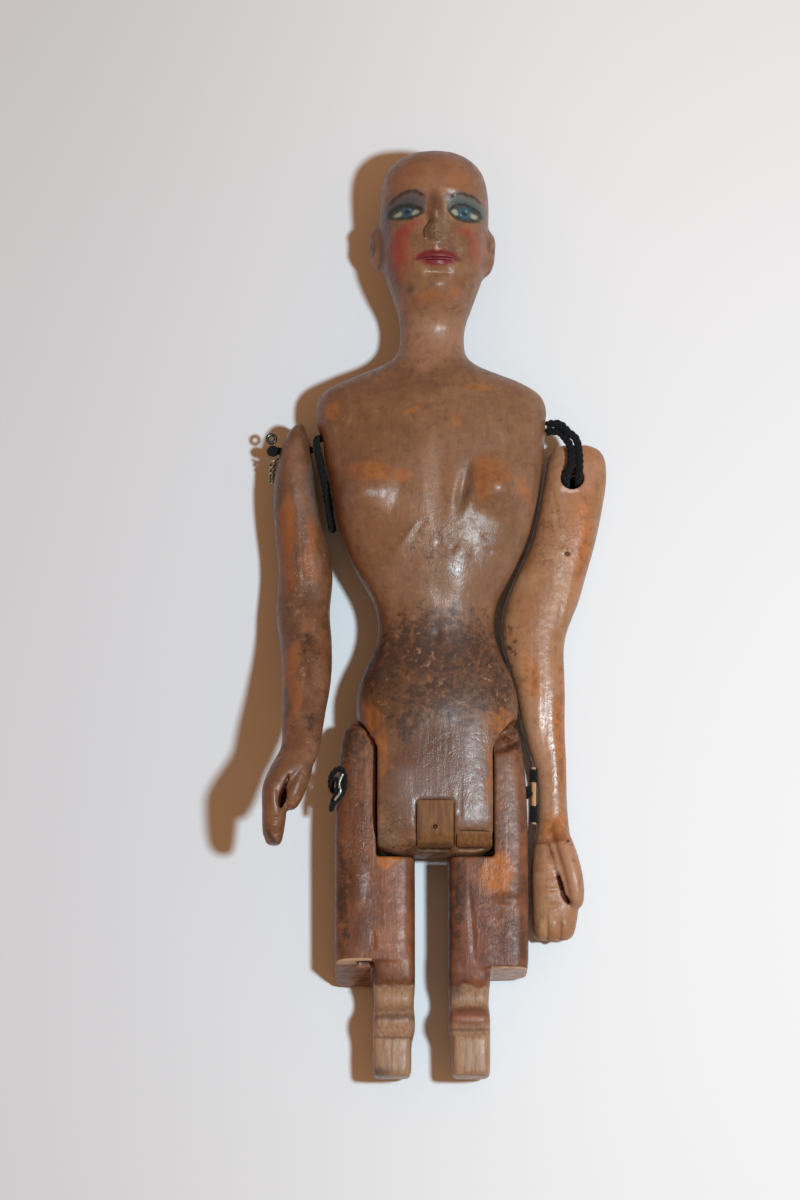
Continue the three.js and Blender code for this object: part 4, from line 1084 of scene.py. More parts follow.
arms = {
    "sides": 24,
    "thumbSides": 16,
    "knife": (12, 0.14, 0.04),
    "voxel": 0.36,
    "breadth": 15.4,
    "clearance": 0.5,
    "leftLength": 123,
    "rightLength": 111,
    "leftBore": 5.8,
    "pocket": 7,
    "pocketDepth": 4.6,
    "leftHoleY": -4.8,
    "leftHoleShare": 0.48,
    "holeEnds": (-5, 20),
    "rightHole": (2.5, 10.6),
    "rightBore": 4.2,
    "outside": -60,
    "hollowShake": (2, 0.6),
}


# share of the length, clearance to the body, width, underside, top and squareness
leftArmRows = [
    (-0.982, 1.8, 8.8, 2.2, 7, 2.4), (-0.965, 0.9, 11, 1, 9.2, 2.5), (-0.91, 0.7, 12, 0.4, 10.6, 2.6),
    (-0.865, 0.7, 12.8, 0.4, 11, 2.6), (-0.825, 0.8, 12.1, 0.6, 11, 2.6), (-0.785, 1.2, 9.9, 0.9, 10, 2.6),
    (-0.76, 2.3, 8, 1.3, 9.2, 2.5), (-0.7, 2.4, 7.5, 1.2, 9.2, 2.5), (-0.645, 2.3, 7.6, 1, 9.8, 2.5),
    (-0.6, 0.5, 9.3, 0.8, 10.3, 2.6), (-0.54, 0.5, 11.3, 0.6, 11, 2.6), (-0.46, 0.5, 12.9, 0.4, 11.8, 2.6),
    (-0.385, 1.1, 15.5, 0.3, 12.4, 2.6), (-0.335, 1.7, 17.4, 0.2, 12.6, 2.6),
    (-0.295, 1.5, 18.6, 0.2, 12.6, 2.6),
    (-0.255, 0.7, 18.2, 0.2, 12.6, 2.6), (-0.215, 0.5, 17.3, 0.2, 12.7, 2.6),
    (-0.17, 0.5, 16.5, 0.2, 12.8, 2.7),
    (-0.13, 0.5, 16.4, 0.2, 12.8, 2.7), (-0.085, 0.5, 16.3, 0.2, 12.8, 2.7),
    (-0.04, 0.6, 16.3, 0.2, 12.7, 2.7),
    (0, 0.7, 15.6, 0.4, 12.6, 2.7), (0.025, 1.4, 13.5, 1, 12.1, 2.6), (0.037, 3.2, 8.8, 2.4, 10.8, 2.4),
]
# share of the length, clearance to the body, breadth, height of the middle, depth and squareness
rightArmRows = [
    (-0.905, 13, 2.4, 31.4, 3.4, 2.3), (-0.897, 12.4, 4, 31.6, 6.4, 2.4), (-0.885, 12, 4.9, 32, 8.2, 2.4),
    (-0.86, 11.5, 5.7, 32.6, 9.6, 2.4), (-0.83, 11.1, 6, 33, 10.4, 2.4), (-0.8, 11.4, 5.9, 33, 10.6, 2.4),
    (-0.77, 10, 7.1, 33, 10.6, 2.4), (-0.74, 5.6, 10.1, 32.6, 10.2, 2.4), (-0.715, 3.8, 10.4, 31.6, 9.6, 2.4),
    (-0.69, 3.3, 9.3, 30.4, 9.6, 2.4), (-0.66, 2.8, 9.6, 28.6, 10.2, 2.4),
    (-0.62, 2.3, 10.6, 26.2, 11.2, 2.4),
    (-0.52, 6.6, 12.4, 19.8, 12.8, 2.4), (-0.42, 11, 13.2, 13.4, 14.4, 2.4),
    (-0.37, 12.1, 13.6, 10.4, 15.6, 2.4),
    (-0.325, 10.3, 13.8, 8.8, 16, 2.4), (-0.25, 4.6, 14, 8.6, 16.6, 2.4), (-0.18, 3.9, 12.9, 8.8, 17.2, 2.4),
    (-0.085, 4.3, 11.1, 9, 17.6, 2.4), (-0.04, 3.6, 10.4, 9, 17.6, 2.4), (0.03, 2.9, 7.5, 9, 16.8, 2.4),
    (0.054, 3.1, 5.9, 9, 15.6, 2.3), (0.072, 3.3, 3.9, 9.5, 13.6, 2.2), (0.084, 3.8, 1.6, 10, 8.4, 2.2),
]


def bodyEdge(y, side):
    # how far the body or a thigh reaches to one side, for what hangs beside it
    edges = [side * row[1] + row[2] / 2 for row in torsoRows]
    edge = float(np.interp(y, [row[0] for row in torsoRows], edges))
    hipY = torso["hipAxis"][0]
    if y >= hipY + thighs["lapRadius"]:
        return edge
    return max(thighInner(side) + thighs["width"], edge if y > hipY else 0)


def leftArmRow(level, clearance, width, under, top, squareness):
    y = level * arms["leftLength"]
    return (y, bodyEdge(y, 1) + clearance + width / 2, width, under, top, squareness)


def rightArmRow(level, clearance, breadth, middle, depth, squareness):
    y = level * arms["rightLength"]
    x = -(bodyEdge(y, -1) + clearance + breadth / 2)
    return (y, x, breadth, middle - depth / 2, middle + depth / 2, squareness)


thumbs = {
    # along the hand: y, x, width, underside, top and squareness
    "left": [
        (-112.9, 34.9, 2, 6, 9.4, 2), (-112.1, 34.9, 3.6, 4.8, 11, 2.1), (-110, 34.9, 4.5, 4.2, 12, 2.2),
        (-106.4, 34.5, 5, 4, 12.7, 2.2), (-102.4, 33.6, 5.4, 4, 12.8, 2.2), (-98, 32.3, 5.6, 3.6, 12.2, 2.2),
        (-93.4, 30.8, 4.8, 3, 10.6, 2.2), (-89, 29.8, 3, 3, 8.6, 2.2),
    ],
    "right": [
        (-91.9, -35.3, 1.6, 31.4, 35, 2), (-91.2, -35.1, 3.2, 30, 36.4, 2.1),
        (-89.4, -34.7, 4.7, 29, 37.2, 2.2),
        (-87, -34, 5.2, 28.4, 37.6, 2.2), (-84, -33, 5.2, 28, 37.3, 2.2), (-80, -31.6, 4.6, 27.2, 36.2, 2.2),
        (-76, -31.4, 3.6, 27, 34, 2.2),
    ],
}
# hollows cut between the thumb and the fingers: middle, half size and turns
handSlits = {
    "left": [((31, -107, 11.4), (0.5, 3.8, 4), (0, 0, 17)), ((32.4, -110.8, 11.4), (0.6, 2, 4), (0, 0, 38))],
    "right": [((-37, -89.3, 37.4), (0.8, 2.8, 5.4), (0, 0, -12)),
      ((-36.2, -86, 38), (0.45, 3, 2.4), (0, 0, -22))],
}
leftArmForms = [
    (28.6, -99.8, 4.4, 1, -72, -0.9),
    (27.2, -96.4, 6, 0.8, 5, -0.5), (27, -102.4, 4.4, 0.7, 3, 0.35), (27, -108.6, 5, 0.9, 2, 0.4),
    (27.4, -105.4, 4.6, 1.2, 3, -0.3), (27.6, -112.6, 5, 1.2, 3, -0.3),
    (27.7, -118, 0.6, 3.8, 0, -0.8), (30.9, -118, 0.6, 3.6, 0, -0.8),
    (26, -117.6, 1.2, 2.6, 0, 0.3), (29.3, -118.4, 1.2, 2.6, 0, 0.35), (32.2, -118.4, 1.2, 2.6, 0, 0.35),
    (33.4, -24.4, 0.8, 0.6, 0, -0.8), (32.6, -23.2, 1.2, 1.2, 0, 0.35), (30.6, -13, 1, 7, 8, -0.25),
    (33.4, -38, 2, 14, -12, 0.4), (26, -60, 2, 12, 0, 0.4), (33, -96.6, 0.5, 0.4, 0, -0.5),
]
# the ends of the three long fingers, under the fist
leftFingers = [
    ((26.2, -120, 6), 1.5, (0, -0.5, 0)), ((29.4, -120.8, 6), 1.6, (0, -0.6, 0)),
    ((32.4, -119.6, 6), 1.5, (0, -0.5, 0)), ((27.8, -120.6, 6), 0.9, (0, 0.8, 0)),
    ((31, -120.4, 6), 0.9, (0, 0.8, 0)),
]
rightArmForms = [
    (-38.9, -94.4, 3, 0.6, 6, -0.6), (-38.9, -96.2, 2.8, 0.9, 6, 0.4), (-39.3, -98.2, 2.2, 0.5, 14, -0.5),
    (-40.6, -88.4, 0.8, 5, 4, -0.25), (-39.2, -88.6, 1.2, 4.6, 4, 0.35),
    (-37.6, -79, 3.4, 0.7, 35, -0.5), (-34, -53.6, 4, 1, -22, -0.5), (-31.6, -56.4, 1, 4, 8, -0.4),
    (-33.5, -30, 1.6, 20, 3, 0.5), (-34, -65, 2, 10, 0, 0.3),
]
# the grooves between the fingers at the outside of the raised hand
rightFingers = [
    ((-43, -92, 35.2), 1.7, (0.7, 0, 0)), ((-43, -96, 34.6), 1.7, (0.7, 0, 0)),
    ((-43, -90, 31), 1.9, (0.8, 0, 0)), ((-42.4, -95, 31.2), 1.9, (0.8, 0, 0)),
    ((-41.4, -99, 31.6), 1.6, (0.6, 0.2, 0)),
]


def makeArm(name, rows, hand, bores, forms, fingers):
    arm = growRings(name, rows, arms["sides"], 2)
    joinInto(arm, [growRings("thumb", thumbs[hand], arms["thumbSides"], 2)])
    reskin(arm, arms["voxel"], 2)
    for slit in handSlits[hand]:
        cutAway(arm, addBall(*slit))
    for bore in bores:
        cutAway(arm, addBar(*bore))
    reskin(arm, arms["voxel"], 1)
    carve(arm, forms, fingers, arms["knife"])
    return arm


def leftHole():
    y = arms["leftHoleY"]
    return bodyEdge(y, 1) + arms["clearance"] + arms["leftHoleShare"] * arms["breadth"], y


def makeLeftArm():
    x, y = leftHole()
    under, over = arms["holeEnds"]
    bores = [
        ((x, y, under), (x, y, over), arms["leftBore"]),
        ((x, y, under), (x, y, arms["pocketDepth"]), arms["pocket"]),
    ]
    rows = [leftArmRow(*row) for row in leftArmRows]
    return makeArm("left_arm_carved", rows, "left", bores, leftArmForms, leftFingers)


def makeRightArm():
    y, z = arms["rightHole"]
    bores = [((arms["outside"], y, z), (-bodyEdge(y, -1), y, z), arms["rightBore"])]
    rows = [rightArmRow(*row) for row in rightArmRows]
    return makeArm("right_arm_carved", rows, "right", bores, rightArmForms, rightFingers)


leftArmPaint = dict(
    skinPaint, light=(166, 124, 90), deep=(148, 102, 70), streak=(112, 72, 48), ground=(176, 106, 54))
leftArmWear = {
    "streaks": 0.3,
    "rubbedFrom": 0.64,
    "rubbedMost": 0.5,
    "groundMost": 0.7,
    "roughness": 0.35,
    "gloss": 0.34,
    "flake": 1.8,
    "relief": 0.15,
    "grimeAndShadeLift": 0.12,
    "regions": [
        ([(36.6, -14, 2.6, 18, -4)], 0.6, (168, 104, 58), 0.7),
        ([(25.6, -70, 3.2, 18)], 0.6, (176, 132, 102), 0.75),
        ([(25, -44, 4, 12, 14)], 0.6, (150, 100, 66), 0.6),
        ([(32, -102, 5, 10)], 0.6, (174, 129, 100), 0.65),
        ([(35, -4, 4, 6)], 0.6, (162, 118, 96), 0.6),
    ],
    "ground": [(31.4, -68, 1.5, 15), (24, -55, 2, 6, 12), (30, -93, 3.4, 4, 10), (37.4, -18, 1.4, 9)],
    "grimeAndShade": [(19, -46, 2, 6), (33, -70, 1, 6), (27, -97, 6, 1)],
    "bare": [(34.6, -7.6, 2.6, 1.8), (32, -25, 2.5, 2.5), (28, -117, 6, 2)],
    "crackle": [(30, -20, 5, 8)],
    "shine": [(29, -72, 3, 16)],
}
rightArmPaint = dict(skinPaint, light=(122, 84, 60), deep=(96, 62, 40), ground=(148, 84, 40))
rightArmWear = {
    "streaks": 0.4,
    "rubbedFrom": 0.6,
    "rubbedMost": 0.5,
    "groundMost": 0.7,
    "roughness": 0.34,
    "gloss": 0.34,
    "flake": 1.8,
    "relief": 0.15,
    "grimeAndShadeLift": 0.14,
    "regions": [
        ([(-30.4, -5, 1.6, 12)], 0.6, (112, 98, 92), 0.6),
        ([(-40.4, -8, 1.8, 12)], 0.6, (84, 62, 50), 0.6),
        ([(-34, -26, 1.4, 16)], 0.6, (124, 88, 68), 0.6),
        ([(-36, -74, 4, 8, 10)], 0.6, (112, 66, 40), 0.6),
        ([(-38, -92, 6, 9)], 0.6, (122, 78, 48), 0.65),
    ],
    "ground": [(-37, -22, 1.8, 13, 2), (-30.8, -24, 1.4, 8), (-35.2, -54, 1.8, 6, -12),
      (-34, -63, 1.6, 5)],
    "grimeAndShade": [
        (-31, -49, 2.6, 6, 10), (-34.6, -70.8, 1.6, 1.4, 40), (-37.6, -78, 3, 1.2, 35),
        (-38.8, -97.4, 3, 2),
        (-36.4, -88, 1, 3.4, 14), (-30, -72, 1.8, 6),
    ],
    "bare": [(-34, -34, 2, 12, 2), (-32, -55, 3, 5), (-32.2, -8, 0.8, 2)],
    "crackle": [(-34, -34, 4, 12)],
    "shine": [(-34, -30, 3, 16)],
}


# dark red slits, painted shade in the creases at the wrist, pink and pale marks by the cord hole and dark
# pits
leftHollowsAndCreaseShade = [
    ([(31, -107, 0.6, 4, 17), (32.4, -110.8, 0.65, 2.1, 38)], 0.5, (62, 14, 12), 0.85),
    # painted shade in the creases at the wrist
    ([(28, -98, 0.7, 3.4, 24), (27.6, -96.2, 6, 0.6, 2)], 0.8, (120, 70, 44), 0.6),
    ([(35.4, -6.2, 1.1, 1.3)], 0.4, (152, 84, 84), 0.8),
    ([(32.9, -7.5, 1.2, 0.8, 30), (34.6, -8.2, 1.6, 0.5)], 0.5, (206, 178, 160), 0.8),
    ([(33.3, -24.3, 0.7, 0.5), (33, -96.6, 0.45, 0.35, 20)], 0.3, (60, 34, 22), 0.9),
]
rightHollows = [
    ([(-37, -89.3, 0.9, 2.9, -12), (-36.2, -86, 0.5, 2.6, -22)], 0.5, (60, 14, 10), 0.85),
    ([(-39.6, -99, 0.5, 2.2, 34)], 0.6, (44, 34, 32), 0.7),
]


def finishArm(arm, side, paint, wearAndLight, hollows):
    layWearAndLight(arm, wearAndLight)
    material, tree, shader, place, colour = oldPaint(side + "ArmPaint", paint, wearAndLight)
    colour = spotLayers(tree, place, colour, hollows, *arms["hollowShake"])
    feed(tree, shader.inputs["Base Color"], colour)
    dress(arm, material, side + "_arm", "painted_skin", side + "_arm")
    print(side, "arm:", len(arm.data.polygons), "faces")


finishArm(makeLeftArm(), "left", leftArmPaint, leftArmWear, leftHollowsAndCreaseShade)
finishArm(makeRightArm(), "right", rightArmPaint, rightArmWear, rightHollows)


# Thighs, half lapped at the hip and at the knee

def thighEnd():
    # where the outer half ends, and half way between its back and its front
    return torso["hipAxis"][0] - thighs["length"], (thighs["back"] + thighs["front"]) / 2


def thighRows(side):
    y, inner = torso["hipAxis"][0], thighInner(side)
    back, front, lap = thighs["back"], thighs["front"], thighs["lapRadius"]
    low = -thighs["length"] - thighs["endSlant"][side] / 2
    shape = [
        (low, 0.3, back + 0.2, front - 0.2), (0.98 * low, 0.2, back, front), (0.6 * low, 0.1, back, front),
        (0.2 * low, 0, back, front + 0.4), (-0.04 * low, 0.5, back, front + 0.8),
        (0.28 * lap, 0.9, back, front + 0.9), (0.65 * lap, 1.6, back + 0.2, front + 0.8),
        (1.04 * lap, 2.6, back + 0.6, front + 0.4),
    ]
    rows = []
    for height, inset, under, top in shape:
        width = thighs["width"] - inset
        rows.append((y + height, side * (inner + width / 2), width, under, top, thighs["squareness"]))
    return rows


def tongueRows(side):
    end, inner, inset = thighEnd()[0] - thighs["tongueLength"], thighInner(side), thighs["tenonInset"]
    back, front, under = thighs["back"], thighs["front"], thighs["tenonBack"]
    hollow, tenon, bump = front - thighs["hollow"], front - thighs["step"], front + thighs["bump"]
    shape = [
        (0, under + 2, tenon - 0.8, inset + 0.4, 0.4), (0.8, under + 0.8, tenon - 0.1, inset + 0.1, 0.1),
        (4, under, tenon, inset, 0), (9, under - 0.4, tenon, inset, 0),
        (10.2, under - 0.6, tenon + 0.3, 0.4 * inset, 0), (12, under - 0.8, bump - 0.4, 0, 0),
        (14, under - 0.8, bump, 0, 0), (15.8, under - 0.8, bump - 0.6, 0.1, 0.1),
        (17, under - 0.8, hollow + 0.3, 0.3, 0.3), (19.4, under - 0.8, hollow, 0.3, 0.3),
        (21.4, under - 1, hollow + 0.7, 0.1, 0.1), (22.8, back + 0.3, front - 0.5, 0, 0),
        (28, back + 0.3, front - 0.3, 0, 0), (34, back + 0.3, front - 0.3, 0, 0),
    ]
    rows = []
    for height, low, top, inside, outside in shape:
        width = thighs["tongueWidth"] - inside - outside
        x = side * (inner + inside + width / 2)
        rows.append((end + height, x, width, low, top, thighs["tongueSquareness"]))
    return rows


thighForms = {
    1: [
        (17.4, -73.4, 5, 2.8, 22, -3), (13, -92, 0.6, 8, 0, -0.25), (18, -112, 5, 2, 0, 0.3),
        (8.5, -144.5, 5, 1.2, 0, 0.2), (9, -118, 1, 12, 4, -0.25),
    ],
    -1: [
        (-14, -92, 0.6, 8, 0, -0.25), (-19, -108, 3, 7, 0, 0.3), (-9.6, -144.5, 5, 1.2, 0, 0.2),
        (-15, -122, 0.7, 3, 6, -0.5),
    ],
}


def makeThigh(side):
    name = "left_thigh_carved" if side > 0 else "right_thigh_carved"
    (y, z), far = torso["hipAxis"], torso["far"]
    thigh = growRings(name, thighRows(side), thighs["sides"], 1)
    shoulder = y - torso["blockRadius"] - torso["gap"]
    beside = torso["blockHalf"] + torso["gap"]
    cutAway(thigh, sideBlock(side, -far, beside, (shoulder, -far), (y + far, far)))
    above = sideBlock(side, 0, far, (y, -far), (y + far, far))
    cutAway(above, lapCutter(side, 0))
    cutAway(thigh, above)
    trimEnd(thigh, side)
    cutAway(thigh, growRings("tongue", tongueRows(side), thighs["tongueSides"], 1), "UNION")
    if side < 0:
        cutAway(thigh, addBlock(*thighs["sawCut"]))
    cutAway(thigh, addBar((-far, y, z), (far, y, z), torso["hipBore"]))
    pinY, pinZ, pinBore = thighs["pin"]
    cutAway(thigh, addBar((-far, pinY, pinZ), (far, pinY, pinZ), pinBore, thighs["pinSides"]))
    reskin(thigh, thighs["voxel"], 2)
    carve(thigh, thighForms[side], [], thighs["knife"])
    return thigh


def trimEnd(thigh, side):
    # the outer half was sawn off aslant
    (end, middle), far = thighEnd(), torso["far"]
    block = sideBlock(side, 0, far, (-far, -far), (0, far))
    block.rotation_euler.x = -math.atan(thighs["endSlant"][side] / (thighs["front"] - thighs["back"]))
    block.location = Vector((0, end, middle)) * mm
    cutAway(thigh, settle(block))


thighPaint = {
    "light": (126, 78, 52), "deep": (92, 53, 34), "streak": (62, 36, 24), "ground": (180, 104, 34),
    "groundDeep": (158, 90, 32), "grimeAndShade": (54, 33, 22), "bare": (172, 132, 106),
}
# the thighs' wear, with painted shade among the grime
thighWearAndShade = {
    "streaks": 0.6,
    "rubbedFrom": 0.76,
    "rubbedMost": 0.25,
    "groundMost": 0.75,
    "roughness": 0.36,
    "gloss": 0.26,
    "flake": 2.2,
    "relief": 0.15,
    "grimeAndShadeLift": 0.2,
    "regions": [
        ([(-21.6, -98, 3, 30)], 0.6, (100, 58, 34), 0.7),
        ([(-16, -84, 2, 10)], 0.6, (140, 92, 62), 0.6),
        ([(17, -86, 4, 12)], 0.6, (124, 84, 60), 0.6), ([(5.4, -116, 2, 14)], 0.6, (86, 56, 44), 0.7),
        ([(-9, -118, 4, 12)], 0.6, (140, 88, 58), 0.6), ([(11, -122, 6, 8)], 0.6, (122, 72, 50), 0.5),
    ],
    "ground": [(-11.8, -101.8, 2.6, 2.8, -30), (15.3, -105.4, 3.5, 4.9, -6)],
    # the last spot below is painted shade, in the recess under the left hip
    "grimeAndShade": [(-20, -73, 3.4, 6), (-22.6, -112, 1.6, 14), (6, -112, 1.4, 14), (20, -72, 4, 4)],
    "bare": [(-15.4, -94, 1, 8), (15.4, -92, 1, 9), (14, -118, 6, 7), (-12, -118, 4, 8)],
    "crackle": [(-19, -95, 5, 12), (15, -115, 6, 12)],
    "shine": [(-21, -100, 4, 26), (14, -92, 4, 14)],
}
# stains on the bare knees, with a painted highlight along the left knee's bump: spots, softness, colour and
# strength
kneeStainsAndHighlight = [
    ([(-10, -136.6, 5.6, 2.4)], 0.5, (150, 112, 84), 0.5),
    ([(-10, -140.7, 6, 0.8), (-15.4, -141, 1, 1.2)], 0.6, (84, 56, 42), 0.75),
    ([(8.4, -140.4, 6, 2.4)], 0.35, (112, 62, 44), 0.8),
    # a painted highlight along the bump of the left knee
    ([(8.4, -141, 4.6, 0.5)], 0.6, (168, 112, 88), 0.4),
    ([(-10, -145.5, 6, 0.35), (8.4, -143.7, 6, 0.4)], 0.7, (90, 62, 46), 0.6),
    ([(-13.4, -154, 2.6, 1.2, 8), (5, -133, 1.6, 3)], 0.7, (80, 60, 56), 0.7),
]


# the bare wood of the knees, and of the ends where the outer halves were sawn off
kneeLook = {
    "paintEdge": (-2.9, -3.9),
    "edgeShake": (3, 2.6),
    "grain": (0.8, 5.0, 0.6, (1, 0.1, 1)),
    "grainRange": (0.3, 0.7),
    "wood": ((164, 132, 104), (136, 102, 78)),
    "stainShake": (1.6, 0.7),
    "speckle": (0.9, 4.0, 0.7),
    "speckleRange": (0.58, 0.72),
    "speckleMost": 0.4,
    "speckleTint": (100, 70, 52),
    "sawn": {1: ((190, 160, 134), (150, 116, 90)), -1: ((142, 100, 76), (96, 60, 44))},
    "sawnGrain": (1.2, 4.0, 0.7, (0.3, 1, 1)),
    "sawnRange": (0.35, 0.65),
    "sawnInside": (0.1, 0.3),
    "sawnEdge": (0.55, 0.25),
    "cornerRange": (15.4, 16.4),
    "cornerTint": (176, 142, 112),
}


def thighMaterial():
    material, tree, shader, place, colour = oldPaint("thighPaint", thighPaint, thighWearAndShade)
    look, (end, middle) = kneeLook, thighEnd()
    x, y, z = addNode(tree, "ShaderNodeSeparateXYZ", {0: place}).outputs
    uneven = addNode(tree, "ShaderNodeSeparateXYZ", {0: warped(tree, place, *look["edgeShake"])})
    bare = ramp(tree, uneven.outputs[1], *[end + reach for reach in look["paintEdge"]])
    wood = between(tree, noiseAt(tree, place, *look["grain"]), *look["grainRange"], *look["wood"])
    wood = spotLayers(tree, place, wood, kneeStainsAndHighlight, *look["stainShake"])
    speckle = ramp(tree, noiseAt(tree, place, *look["speckle"]), *look["speckleRange"])
    wood = tintOver(tree, wood, speckle, look["speckleMost"], look["speckleTint"])
    colour = mixColour(tree, bare, colour, wood)
    for side, tints in look["sawn"].items():
        edge = thighInner(side) + thighs["tongueWidth"]
        slope = thighs["endSlant"][side] / (thighs["front"] - thighs["back"])
        outside = ramp(tree, times(tree, x, side), *[edge + reach for reach in look["sawnInside"]])
        height = calc(tree, "SUBTRACT", y, times(tree, z, slope))
        sawn = ramp(tree, height, *[end - slope * middle + reach for reach in look["sawnEdge"]])
        endGrain = between(tree, noiseAt(tree, place, *look["sawnGrain"]), *look["sawnRange"], *tints)
        if side < 0:
            corner = ramp(tree, z, *look["cornerRange"])
            endGrain = mixColour(tree, corner, endGrain, linear(*look["cornerTint"]))
        colour = mixColour(tree, times(tree, sawn, outside), colour, endGrain)
    feed(tree, shader.inputs["Base Color"], colour)
    return material


thighFinish = thighMaterial()
for side, name in ((1, "left_thigh"), (-1, "right_thigh")):
    thigh = makeThigh(side)
    layWearAndLight(thigh, thighWearAndShade)
    dress(thigh, thighFinish, name, "painted_thigh", name)
    print(name, "carved:", len(thigh.data.polygons), "faces")


# Cords, wire and nails

nails = {
    "head": 1.2,
    "headHeight": 0.35,
    "shank": 0.6,
    "level": 15.4,
    "sink": 0.1,
    "shankEnd": 0.8,
    "pointLength": 1.2,
    "pointShare": 0.25,
    "voxel": 0.09,
    "knife": (2, 0.04, 0.03),
}
cords = {
    "peg": 1.2,
    "pegLength": 14.3,
    "pegRise": 6.3,
    "thread": 0.45,
    "threadPitch": 0.46,
    "turns": (7, 9),
    "wire": 0.7,
    "strand": 2,
    "leftStrand": 2.1,
    "hipStrand": 1.5,
    "thick": 3.4,
    "ply": 0.27,
    "pitch": 4.6,
    "sides": 8,
    "step": 0.3,
    "mouth": (28.4, 7.9),
    # each strand of the left shoulder: across and along from the bore's mouth, then from the arm's hole
    "leftStrands": {
        "left_cord_front_strand": (
            [(0, 0.7, 13.8), (1.7, 0.8, 14.6), (3.4, 0.4, 15), (5.2, -1.4, 15.1)],
            [(1, 9.3, 15), (1.75, 5.6, 14.7), (1.8, 2.6, 14.5), (1.65, 0.3, 13), (1.5, -0.4, 9.7),
              (1.2, 0, 5.1)],
        ),
        "left_cord_back_strand": (
            [(0, -0.75, 12.25), (1.7, -0.8, 13.1), (3, -1, 13.4), (4.4, -2.5, 13.5)],
            [(-0.5, 8, 13.6), (-0.2, 5.2, 14.1), (-0.4, 3.2, 14.2), (-1.2, 1.2, 13.7), (-1.6, 0.1, 12.2),
             (-1.45, -0.3, 9.2), (-1.2, 0, 5.1)],
        ),
    },
    "knotStrand": 0.75,
    "knotTurns": ((0.5, 0), (1.3, 1.2), (-0.5, 2.3)),
    "unevenness": (0.09, 1.6),
    "slackFrom": (4.5, 13),
    # down from the bore, out from the chest and up, for the free part of the slack loop
    "slack": [
        (4.5, 1.4, 1.3), (9, 1.4, 1.2), (15, 1.35, 0.6), (20.5, 1.5, -1), (22, 1.5, -3.2),
        (19.5, 1.4, -5.2), (12, 1.3, -5), (5.5, 1.3, -4),
    ],
    "pegKnife": (5, 0.06, 0.03),
    # the rest is from the outer face, the cord's bore and the front of the right thigh
    "overFront": 0.8,
    "hipLoop": [
        (2.4, 0, -6.4), (-0.2, 0.3, -6.2), (-0.9, 2, -4.2), (-0.3, 4, -1.7), (1.6, 5, 0.4), (2.6, 3.2, 0.8),
        (2.7, 0.6, 0.8), (1.9, -1.6, 0.5), (0.6, -2.8, -0.6), (-0.4, -3.9, -2.2), (-0.6, -4.9, -3.2),
    ],
    "hipSecond": [
        (1.4, -0.6, -6.4), (-0.5, 0.2, -4), (-0.1, 2.6, -1.1), (1.1, 1.6, 0.6), (0.6, -1.2, 0.3),
        (-0.3, -3, -1.4), (-0.5, -4.4, -3),
    ],
    "hipSecondStrand": 1.3,
    "hipPin": [(2.3, 3.4, 2.2), (1.4, 1, 1.8), (1.7, -1, 1.9), (0.3, -3, 1)],
}


def smoothPath(points, step):
    # even points along a smooth curve through a few chosen ones
    knots = [Vector(point) for point in points]
    knots = [2 * knots[0] - knots[1]] + knots + [2 * knots[-1] - knots[-2]]
    path = []
    for a, b, c, d in zip(knots, knots[1:], knots[2:], knots[3:]):
        count = max(2, round((c - b).length / step))
        for index in range(count):
            t = index / count
            path.append(0.5 * (2 * b + (c - a) * t + (2 * a - 5 * b + 4 * c - d) * t * t
                               + (3 * b - a - 3 * c + d) * t ** 3))
    path.append(knots[-2].copy())
    return path


def pathFrames(path):
    # one direction across the path that turns as little as it can
    frames = []
    across = (path[1] - path[0]).orthogonal().normalized()
    for index, point in enumerate(path):
        along = (path[min(index + 1, len(path) - 1)] - path[max(index - 1, 0)]).normalized()
        across = (across - across.dot(along) * along).normalized()
        frames.append((point, across, along.cross(across)))
    return frames


def tubeMesh(name, lines, sides, radius):
    # closed round tubes along one or more lines of points
    points, faces = [], []
    for path in lines:
        frames = pathFrames(path)
        start = len(points)
        for point, across, out in frames:
            for side in range(sides):
                angle = 2 * math.pi * side / sides
                points.append((point + radius * (math.cos(angle) * across + math.sin(angle) * out)) * mm)
        for ring in range(len(frames) - 1):
            for side in range(sides):
                a = start + ring * sides + side
                b = start + ring * sides + (side + 1) % sides
                faces.append((a, b, b + sides, a + sides))
        last = start + (len(frames) - 1) * sides
        faces.append([start + side for side in reversed(range(sides))])
        faces.append([last + side for side in range(sides)])
    mesh = bpy.data.meshes.new(name)
    mesh.from_pydata(points, [], faces)
    piece = bpy.data.objects.new(name, mesh)
    bpy.context.scene.collection.objects.link(piece)
    return piece


def twistedCord(name, points, diameter, plies=3):
    # a cord of a few plies laid round each other
    frames = pathFrames(smoothPath(points, cords["step"]))
    lines = []
    for ply in range(plies):
        line = []
        for index, (point, across, out) in enumerate(frames):
            angle = 2 * math.pi * (ply / plies + index * cords["step"] / cords["pitch"])
            reach = diameter * (0.5 - cords["ply"])
            line.append(point + reach * (math.cos(angle) * across + math.sin(angle) * out))
        lines.append(line)
    return tubeMesh(name, lines, cords["sides"], diameter * cords["ply"])


cordLook = {
    "fibres": (0.35, 4.0, 0.7),
    "range": (0.35, 0.75),
    "colours": ((5, 5, 6), (24, 24, 27)),
    "finish": {"Roughness": 0.85, "Specular IOR Level": 0.2, "Sheen Weight": 0.06},
    "bump": (0.8, 0.12),
}
metalLook = {
    "tarnish": (0.8, 4.0, 0.65),
    "range": (0.4, 0.65),
    "roughRange": (0.3, 0.7),
    "roughSpread": 0.25,
}


